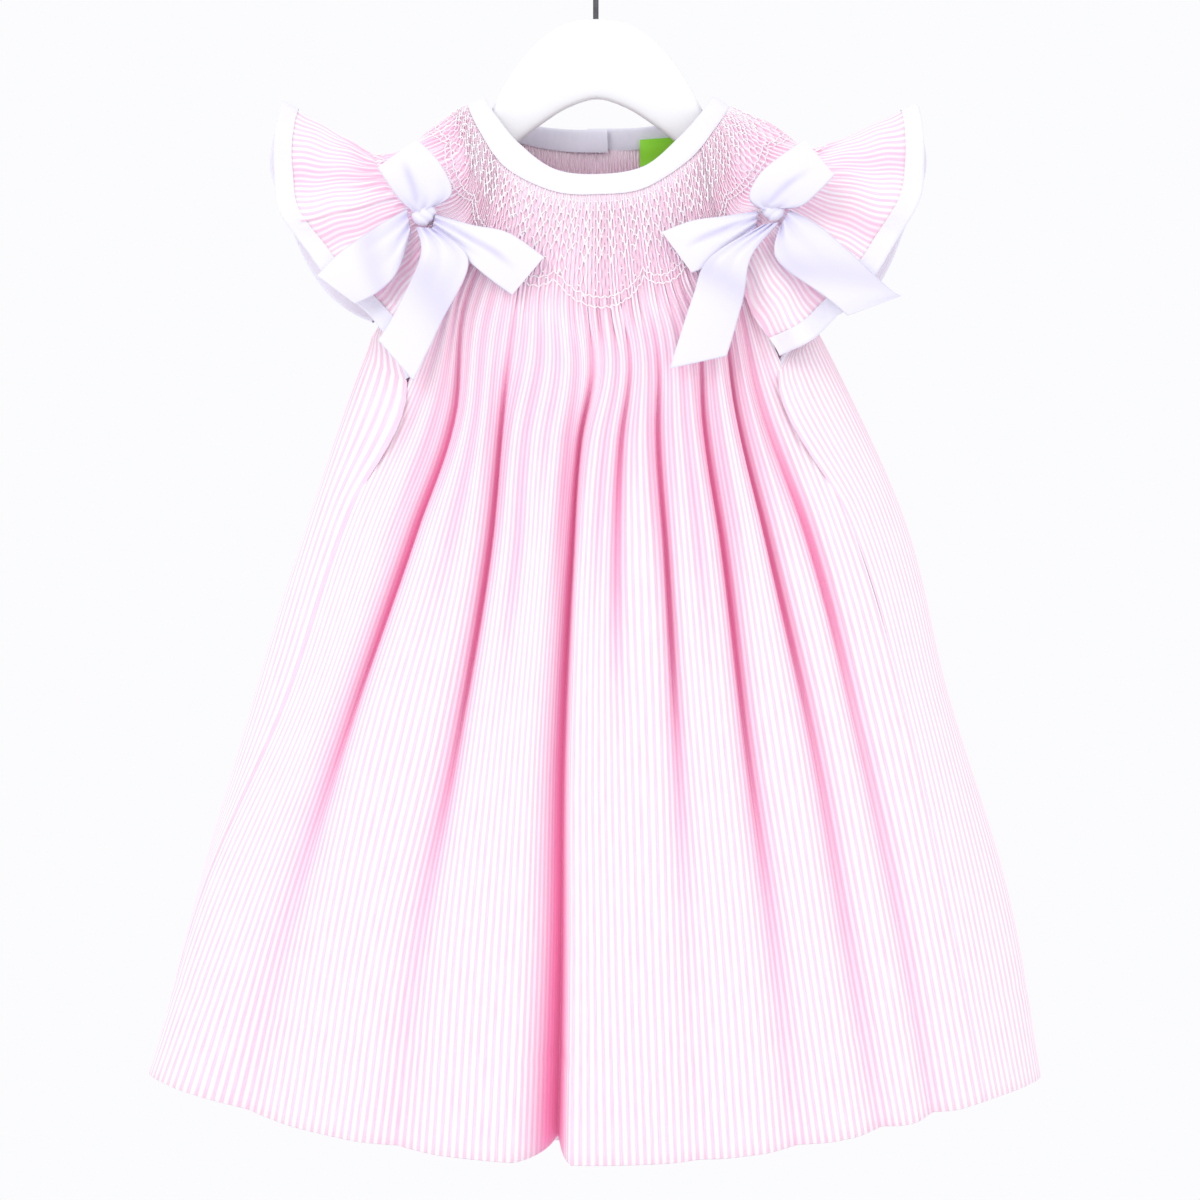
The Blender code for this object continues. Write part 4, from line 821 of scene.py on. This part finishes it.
# Each tail: four stations from the knot to the cut end, x y z of one edge and of the other.
BOW_TAILS = (
    ("bow_left_tail_outer",
     ((-80.6, -34.2, -149.5), (-79.2, -34.6, -159.5)), ((-94.0, -36.5, -157.5), (-84.5, -37.0, -176.0)),
     ((-109.0, -37.0, -168.0), (-92.8, -37.5, -185.0)), ((-119.0, -35.5, -178.0), (-102.8, -36.5, -190.0))),
    ("bow_left_tail_down",
     ((-76.8, -36.6, -157.2), (-69.5, -36.8, -158.0)), ((-75.0, -40.6, -170.0), (-54.5, -40.6, -172.0)),
     ((-85.0, -39.0, -192.5), (-66.0, -39.0, -198.0)), ((-93.0, -37.5, -205.3), (-78.0, -37.5, -222.8))),
    ("bow_right_tail_down",
     ((70.6, -36.75, -156.3), (77.4, -36.75, -155.4)), ((47.5, -41.75, -171.0), (65.5, -41.55, -170.0)),
     ((40.5, -39.65, -187.5), (62.0, -39.65, -188.5)), ((30.8, -38.15, -217.7), (55.2, -38.15, -212.2))),
    ("bow_right_tail_outer",
     ((77.4, -34.15, -157.5), (82.0, -34.55, -150.1)), ((76.5, -37.15, -171.5), (96.5, -37.15, -158.5)),
     ((97.0, -38.15, -187.0), (123.0, -37.65, -182.5)), ((106.5, -35.65, -195.0), (129.5, -34.15, -186.5))),
)


def white_satin():
    """Bright white satin with painted lavender shade in its folds, with fine ribs across the ribbon."""
    sheen = {"Sheen_Weight": 0.25, "Sheen_Roughness": 0.3, "Anisotropic": 0.5}
    made, tree, shader = finish_of("white_satin_ribbon", 0.36, **sheen)
    cloth = add(tree, "ShaderNodeUVMap", uv_map="cloth").outputs[0]
    fold = add(tree, "ShaderNodeAttribute", attribute_name="fold")
    # Painted shade: lavender C3BAE4 by the fold attribute, in pleats, creases, by the knot and on back
    # layers.
    colour_from(tree, shader, fold.outputs["Fac"], "EFEEF9", "C3BAE4")
    ribbed = {"Vector": cloth, "Scale": 420.0, "Distortion": 0.6}
    ribs = add(tree, "ShaderNodeTexWave", ribbed, bands_direction="Y")
    relief_from(tree, shader, ribs.outputs[1], 0.12, 0.0001)
    return made


SATIN_LOOK = white_satin()


def ribbon(name, edges, out, painted_shade, node):
    """A ribbon between two edges: bowed across, folded in small pleats by the knot, with a crease down it."""
    w = np.linspace(0, 1, RIBBON_COLUMNS)[None]
    grid = edges[:, None, :3] * (1 - w[..., None]) + edges[:, None, 3:] * w[..., None]
    grid[..., 1] += out
    run = run_of(grid[:, RIBBON_COLUMNS // 2])
    towards = np.broadcast_to(np.array([0, -1.0, 0]), grid.shape)
    # The satin takes the painted shade as its fold attribute.
    made = surface(name, grid, towards, SATIN_LOOK, (w * 25, run[:, None]), painted_shade)
    thick = made.modifiers.new("ribbon_thickness", "SOLIDIFY")
    thick.thickness, thick.offset = 0.25 * MM, 0.0
    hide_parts(node)
    return made


def pleats_at(reach, w, seed):
    """Small pleats beside the knot: cosines across the ribbon that flatten with the distance from it."""
    near = np.clip(1 - reach / 0.6, 0, 1)[:, None] ** 1.5
    return near * np.cos(2 * math.pi * 2.5 * w + seed + 1.5 * reach[:, None])


def bow_loop(name, *stations):
    """A loop: the front layer runs out to the fold, and the back layer returns a few mm behind it."""
    seed = stations[0][0][0]
    reach = np.sin(np.linspace(0, math.pi / 2, RIBBON_ROWS))
    front = spline(np.array(stations).reshape(4, 6), reach * 3)
    edges = np.concatenate([front, front[-2::-1]])
    reach = np.concatenate([reach, reach[-2::-1]])
    w = np.linspace(0, 1, RIBBON_COLUMNS)[None]
    behind = np.arange(len(reach)) >= RIBBON_ROWS
    gap = 5.2 * np.sqrt(np.clip(1 - reach**5, 0, 1)) * (0.45 + 0.55 * reach)
    back = np.where(behind, gap, 0)[:, None]
    side = np.where(behind, -1.0, 1.0)[:, None]
    bulge = -(1 - (2 * w - 1) ** 2) * side * (0.9 * np.sin(math.pi * reach) + 0.2)[:, None]
    pleat = pleats_at(reach, w, seed)
    line = 0.42 + 0.3 * (reach[:, None] - 0.5) + 0.06 * np.sin(seed)
    lasting = smooth(reach, 0.1, 0.35) * (1 - smooth(reach, 0.6, 0.9))
    crease = np.exp(-(((w - line) / 0.07) ** 2)) * lasting[:, None]
    out = back + bulge + 1.1 * pleat + 1.0 * crease * side
    # Painted shade: lavender in the pleats and the crease, by the knot and over the whole back layer.
    painted_shade = 0.1 + 0.3 * np.clip(pleat, 0, 1) + 0.45 * crease
    painted_shade = painted_shade + 0.35 * np.exp(-reach / 0.16)[:, None] + 0.5 * behind[:, None]
    return ribbon(name + "_satin", edges, out, painted_shade + 0 * w, name)


def bow_tail(name, *stations):
    """A tail: pleated at the knot, rolling in a slow wave down to its slanting end."""
    seed = stations[0][0][0]
    reach = np.linspace(0, 1, RIBBON_ROWS)
    edges = spline(np.array(stations).reshape(4, 6), reach * 3)
    w = np.linspace(0, 1, RIBBON_COLUMNS)[None]
    bulge = -0.9 * (1 - (2 * w - 1) ** 2) * (0.4 + 0.6 * reach)[:, None]
    wave = 0.8 * np.sin(6.5 * reach + seed)[:, None] * (w - 0.5) * 2 * smooth(reach, 0.15, 0.5)[:, None]
    pleat = pleats_at(reach, w, seed + 1)
    out = bulge + wave + 1.0 * pleat
    # Painted shade: lavender in the pleats, by the knot and in a slanting band across the tail.
    painted_shade = 0.12 + 0.3 * np.clip(pleat, 0, 1) + 0.4 * np.exp(-reach / 0.18)[:, None]
    painted_shade = painted_shade + 0.3 * np.exp(-(((reach[:, None] - 0.42 - 0.2 * w) / 0.12) ** 2))
    return ribbon(name + "_satin", edges, out, painted_shade + 0 * w, name)


def bow_knot(name, x, y, z, turn):
    """The knot: ribbon wrapped round the middle of the bow, open at both ends and ridged by its pleats."""
    path = np.linspace(-5.2, 5.2, 22)
    round_it = np.linspace(0, 2 * math.pi, 29)
    swell = np.sqrt(np.clip(1 - (np.abs(path) / 5.5) ** 3, 0, 1))
    ridge = 1 + 0.05 * np.cos(2 * math.pi * path[:, None] / 3.4 + 0.9 * np.sin(round_it + 0.6)[None])
    along = np.array([math.cos(turn), 0, math.sin(turn)])
    across = np.array([-math.sin(turn), 0, math.cos(turn)])
    ring = across * (4.4 * np.cos(round_it))[:, None]
    ring = ring + np.array([0, 1, 0]) * (2.7 * np.sin(round_it))[:, None]
    spread = (swell[:, None] * ridge)[..., None]
    points = np.array([x, y, z]) + path[:, None, None] * along + ring[None] * spread
    # Painted shade: lavender in the furrows between the knot's ridges.
    painted_shade = 0.12 + 4.0 * np.clip(1.0 - ridge, 0, 1)
    made = surface(name + "_satin", points, np.broadcast_to(ring, points.shape), SATIN_LOOK,
                   (path[:, None], round_it[None] * 4), painted_shade)
    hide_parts(name)


for (name, *stations), length in zip(BOW_LOOPS, (0.058, 0.092, 0.064, 0.075)):
    bow_loop(name, *stations)
TAIL_CUTS = ((0.047, 0.00105), (0.066, 0.0014), (0.066, 0.0014), (0.066, 0.0014))
for (name, *stations), (length, area) in zip(BOW_TAILS, TAIL_CUTS):
    bow_tail(name, *stations)
bow_knot("bow_left_knot", -73.6, -33.0, -151.6, math.radians(50))
bow_knot("bow_right_knot", 74.6, -33.15, -149.6, math.radians(130))

# Back opening: a placket of the striped cotton, folded over the centre back slit and sewn down along it. It
# is closed by three white four-hole pearl buttons, each sewn on with crossed thread.
PLACKET_HALF = 8.0
BUTTON_RADIUS = 5.3
BUTTON_PROFILE = (
    (0.0, 1.55), (0.3, 1.55), (0.62, 1.6), (0.72, 1.95), (0.86, 2.2),
    (0.96, 1.9), (1.0, 1.3), (0.9, 0.2), (0.0, 0.0),
)
HOLE_AWAY = 0.95


def closed_bar(name, rings, look, cloth=None):
    """A closed bar through rings of points, capped at both ends, its faces turned outwards by its volume."""
    count, sides = rings.shape[:2]
    index = np.arange(count * sides).reshape(count, sides)
    ahead = np.roll(index, -1, axis=1)
    quads = np.stack([index[:-1], ahead[:-1], ahead[1:], index[1:]], -1).reshape(-1, 4)
    p = rings.reshape(-1, 3)
    face = np.cross(p[quads[:, 2]] - p[quads[:, 0]], p[quads[:, 3]] - p[quads[:, 1]])
    centre = np.repeat(rings.mean(1), sides, axis=0)
    flip = np.sum(face * (p - centre)[quads[:, 0]]) < 0
    caps = [index[0, ::-1].tolist(), index[-1].tolist()]
    if flip:
        quads, caps = quads[:, ::-1], [c[::-1] for c in caps]
    # The placket takes no painted shade.
    no_painted_shade = None if cloth is None else np.zeros(len(p))
    return mesh_piece(name, p, quads, look, cloth, no_painted_shade, caps)


places = np.linspace(0.004, 0.16, 40)
spine = picked(places, back_shares, back_left[:, -1])
spine[:, 1] = np.interp(places, back_shares, np.maximum(back_left[:, -1, 1], back_left[:, -5, 1]))
spine = through(spine[::6], places[::6], places)
spine[:, 0] = 0
spine[:, 1] += 0.75
turn = np.radians(np.arange(24) * 15 + 7.5)
flat_x = np.sign(np.cos(turn)) * np.abs(np.cos(turn)) ** 0.35 * PLACKET_HALF
flat_y = np.sign(np.sin(turn)) * np.abs(np.sin(turn)) ** 0.5 * 0.55
rings = spine[:, None] + np.stack([flat_x, flat_y, 0 * turn], -1)[None]
cloth = np.stack(np.broadcast_arrays(flat_x[None] + 0.8, run_of(spine)[:, None]), -1).reshape(-1, 2)
placket = closed_bar("back_placket_cloth", rings, STRIPED, cloth)
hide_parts("back_placket")


def pearl():
    """Glossy white pearl plastic with soft cloudy bands."""
    made, tree, shader = finish_of("white_pearl_plastic", 0.22, Coat_Weight=0.6, Coat_Roughness=0.1)
    place = add(tree, "ShaderNodeTexCoord").outputs["Object"]
    cloud = add(tree, "ShaderNodeTexNoise", {"Vector": place, "Scale": 260.0, "Distortion": 1.5})
    colour_from(tree, shader, cloud.outputs[0], "EDE8EC", "FCFAF8")
    return made


PEARL_LOOK = pearl()


def button(name, centre):
    """A turned disc with a raised rim, and four dimples for the holes with thread crossed between them."""
    turn = np.linspace(0, 2 * math.pi, 37)
    radius, high = (np.array(c) for c in zip(*BUTTON_PROFILE))
    fine = np.linspace(0, len(radius) - 1, 33)
    radius, high = (np.interp(fine, np.arange(len(a)), a) for a in (radius, high))
    x = BUTTON_RADIUS * radius[:, None] * np.cos(turn)[None]
    z = BUTTON_RADIUS * radius[:, None] * np.sin(turn)[None]
    corners = [(a, b) for a in (-HOLE_AWAY, HOLE_AWAY) for b in (-HOLE_AWAY, HOLE_AWAY)]
    hole = sum(np.exp(-(((x - a) ** 2 + (z - b) ** 2) / 0.22)) for a, b in corners)
    y = high[:, None] - 1.1 * hole * (fine < 3)[:, None]
    points = centre + np.stack([x, y, z], -1)
    made = surface(name + "_pearl", points, points - centre - (0, 1, 0), PEARL_LOOK)
    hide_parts(name)
    corner = centre + np.array([(-HOLE_AWAY, 1.5, -HOLE_AWAY), (HOLE_AWAY, 1.5, -HOLE_AWAY)])
    other = centre + np.array([(HOLE_AWAY, 1.5, HOLE_AWAY), (-HOLE_AWAY, 1.5, HOLE_AWAY)])
    stitches(name + "_thread", corner, other, np.array([(0, 1.0, 0), (0, 1.0, 0)]), 0.22)


for number, share in enumerate((0.02, 0.08, 0.14)):
    centre = np.array([np.interp(share, places, spine[:, k]) for k in range(3)])
    button(f"button_{number + 1}", centre + (0, 0.75, 0))

# Neck label: a small bright green woven label without text, folded over and sewn inside the back of the
# neck, under the binding and right of the centre.


def green_label():
    """Bright green woven polyester, with a fine weft across it."""
    made, tree, shader = finish_of("green_woven_label", 0.6, Sheen_Weight=0.2)
    place = add(tree, "ShaderNodeTexCoord").outputs["Object"]
    woven = {"Vector": place, "Scale": 700.0, "Distortion": 1.0}
    weft = add(tree, "ShaderNodeTexWave", woven, bands_direction="Z")
    colour_from(tree, shader, weft.outputs[1], "7FD019", "92E22C")
    return made


label_w = np.linspace(-1, 1, 21)
label_z = np.linspace(-116.6, -128.2, 25)
x, z = 26.8 + 8.3 * label_w[None] + 0 * label_z[:, None], label_z[:, None] + 0.6 * label_w[None]
y = 10.9 + 0.25 * np.sin(3 * label_w)[None] + 0.2 * np.cos(0.6 * label_z)[:, None]
front_leaf = np.stack([x, y, z], -1)
back_leaf = front_leaf + (0, 0.7, 0)
leaves = np.concatenate([front_leaf[::-1], back_leaf])
faces = np.concatenate([front_leaf * 0 + (0, -1, 0), back_leaf * 0 + (0, 1, 0)])
label = surface("neck_label_woven", leaves, faces, green_label())
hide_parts("neck_label")

# Hanger: a contoured wooden child's hanger, sawn and rounded, then painted smooth white. It fills the
# shoulders of the dress and carries it.
HANGER = (
    (0.0, -66.0, -100.5), (-12.0, -67.5, -104.0), (-22.0, -73.0, -110.0), (-32.0, -83.0, -117.5),
    (-40.0, -95.0, -124.5), (-46.0, -106.0, -129.5), (-53.0, -112.0, -135.0), (-62.0, -118.4, -140.5),
    (-72.0, -124.6, -145.5), (-84.0, -132.0, -151.5), (-95.0, -139.0, -157.0), (-104.0, -145.0, -161.0),
    (-110.0, -150.0, -162.0), (-113.0, -154.0, -160.0),
)
HANGER_DEPTH = 9.0


def white_paint():
    """Smooth white satin paint on wood, faintly uneven."""
    made, tree, shader = finish_of("white_satin_paint", 0.42, Coat_Weight=0.2, Coat_Roughness=0.3)
    place = add(tree, "ShaderNodeTexCoord").outputs["Object"]
    brush = add(tree, "ShaderNodeTexNoise", {"Vector": place, "Scale": 40.0, "Detail": 3.0})
    colour_from(tree, shader, brush.outputs[0], "F1F1F3", "F6F6F8")
    relief_from(tree, shader, brush.outputs[0], 0.05, 0.0003)
    return made


rows = np.array(HANGER)
rows = np.concatenate([rows[::-1], rows[1:] * (-1, 1, 1)])
rows = spline(rows, np.linspace(0, len(rows) - 1, 121))
x, middle, half = rows[:, 0], (rows[:, 1] + rows[:, 2]) / 2, (rows[:, 1] - rows[:, 2]) / 2
turn = np.radians(np.arange(28) * 360 / 28 + 6)
out, rise = (np.sign(f) * np.abs(f) ** 0.55 for f in (np.cos(turn), np.sin(turn)))
depth = HANGER_DEPTH / 2 * np.interp(np.abs(x), [0, 45, 60, 100, 114], [1, 1, 0.85, 0.8, 0.55])
height = middle[:, None] + half[:, None] * rise
rings = np.stack(np.broadcast_arrays(x[:, None], depth[:, None] * out, height), -1)
for end, ring in ((0, rings[0]), (-1, rings[-1])):
    centre = ring.mean(0)
    reach = np.array([np.sign(centre[0]) * 1.6, 0, -0.4])
    cap = np.stack([centre + (ring - centre) * math.sqrt(1 - t * t) + reach * t for t in (0.5, 0.8, 0.95)])
    rings = np.concatenate([cap[::-1], rings]) if end == 0 else np.concatenate([rings, cap])
body = closed_bar("hanger_body", rings, white_paint())
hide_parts("hanger")

# Hook: a plain round wire of darkened steel, screwed into the hanger's top and bent over in one arc with a
# rounded tip.
WIRE, HOOK_INSIDE = 1.2, 17.0


def dark_steel():
    """Darkened steel wire, drawn with faint long streaks."""
    made, tree, shader = finish_of("darkened_steel_wire", 0.35, Metallic=1.0)
    place = add(tree, "ShaderNodeTexCoord").outputs["Object"]
    streak = add(tree, "ShaderNodeTexNoise", {"Vector": place, "Scale": 300.0})
    colour_from(tree, shader, streak.outputs[0], "4A4A4E", "68686D")
    return made


turn = np.radians(np.linspace(-50, 195, 16))
radius = HOOK_INSIDE + WIRE
arc = np.stack([radius * np.cos(turn), 0 * turn, -HOOK_INSIDE + radius * np.sin(turn)], -1)
stem = [(-0.5, 0, -66.5), (-0.5, 0, -58.0), (-0.5, 0, -50.0), (0.6, 0, -43.0), (4.6, 0, -36.6)]
route = np.concatenate([stem, arc])
route = spline(route, np.linspace(0, len(route) - 1, 150))
along = unit(np.gradient(route, axis=0))
side = unit(np.cross(along, (0, 1, 0)))
turn = np.arange(16) * math.pi / 8
swell = np.full(len(route), WIRE)
swell[-4:] = WIRE * np.array([0.98, 0.9, 0.7, 0.35])
level = np.broadcast_to((0.0, 1.0, 0.0), side.shape)
rings = route[:, None] + circle(side, level, turn) * swell[:, None, None]
wire = closed_bar("hanger_hook_wire", rings, dark_steel())
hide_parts("hanger_hook")

# Studio: a white room with a pale paper floor far below the dress, two soft lights, and the camera square on
# to the dress from 3 m, as in the photo.
world = bpy.data.worlds.new("white_studio")
bpy.context.scene.world = world
world.use_nodes = True
world.node_tree.nodes["Background"].inputs[0].default_value = linear("FDFDFF")
world.node_tree.nodes["Background"].inputs[1].default_value = 0.99
bpy.context.scene.view_settings.view_transform = "Standard"
CAMERA_AWAY, FRAME_WIDTH = 3.0, 0.516
camera = bpy.data.objects.new("camera", bpy.data.cameras.new("camera"))
bpy.context.scene.collection.objects.link(camera)
camera.location = (0.0013, -CAMERA_AWAY, -0.3158)
camera.rotation_euler = (math.pi / 2, 0, 0)
camera.data.lens = camera.data.sensor_width * CAMERA_AWAY / FRAME_WIDTH
camera.data.clip_end = 50
bpy.context.scene.camera = camera
FLOOR_LEVEL, FLOOR_RADIUS = -620.0, 480.0
turn = np.arange(64) * 2 * math.pi / 64
rim = np.stack([FLOOR_RADIUS * np.cos(turn), FLOOR_RADIUS * np.sin(turn), 0 * turn + FLOOR_LEVEL], -1)
floor_mesh = bpy.data.meshes.new("studio_floor")
floor_mesh.from_pydata((rim * MM).tolist(), [], [list(range(64))])
floor = bpy.data.objects.new("studio_floor", floor_mesh)
bpy.context.scene.collection.objects.link(floor)
paper, tree, shader = finish_of("pale_paper_floor", 0.9)
place = add(tree, "ShaderNodeTexCoord").outputs["Object"]
grain = add(tree, "ShaderNodeTexNoise", {"Vector": place, "Scale": 30.0})
colour_from(tree, shader, grain.outputs[0], "F4F3F6", "FAF9FB")
floor_mesh.materials.append(paper)
for name, place, size, watts in (("key", (-1.1, -1.6, 0.9), 1.2, 12), ("fill", (1.4, -1.8, 0.0), 1.6, 5)):
    light = bpy.data.objects.new(name, bpy.data.lights.new(name, "AREA"))
    light.data.size, light.data.energy = size, watts
    light.location = place
    light.rotation_euler = (-light.location).to_track_quat("-Z", "Y").to_euler()
    bpy.context.scene.collection.objects.link(light)
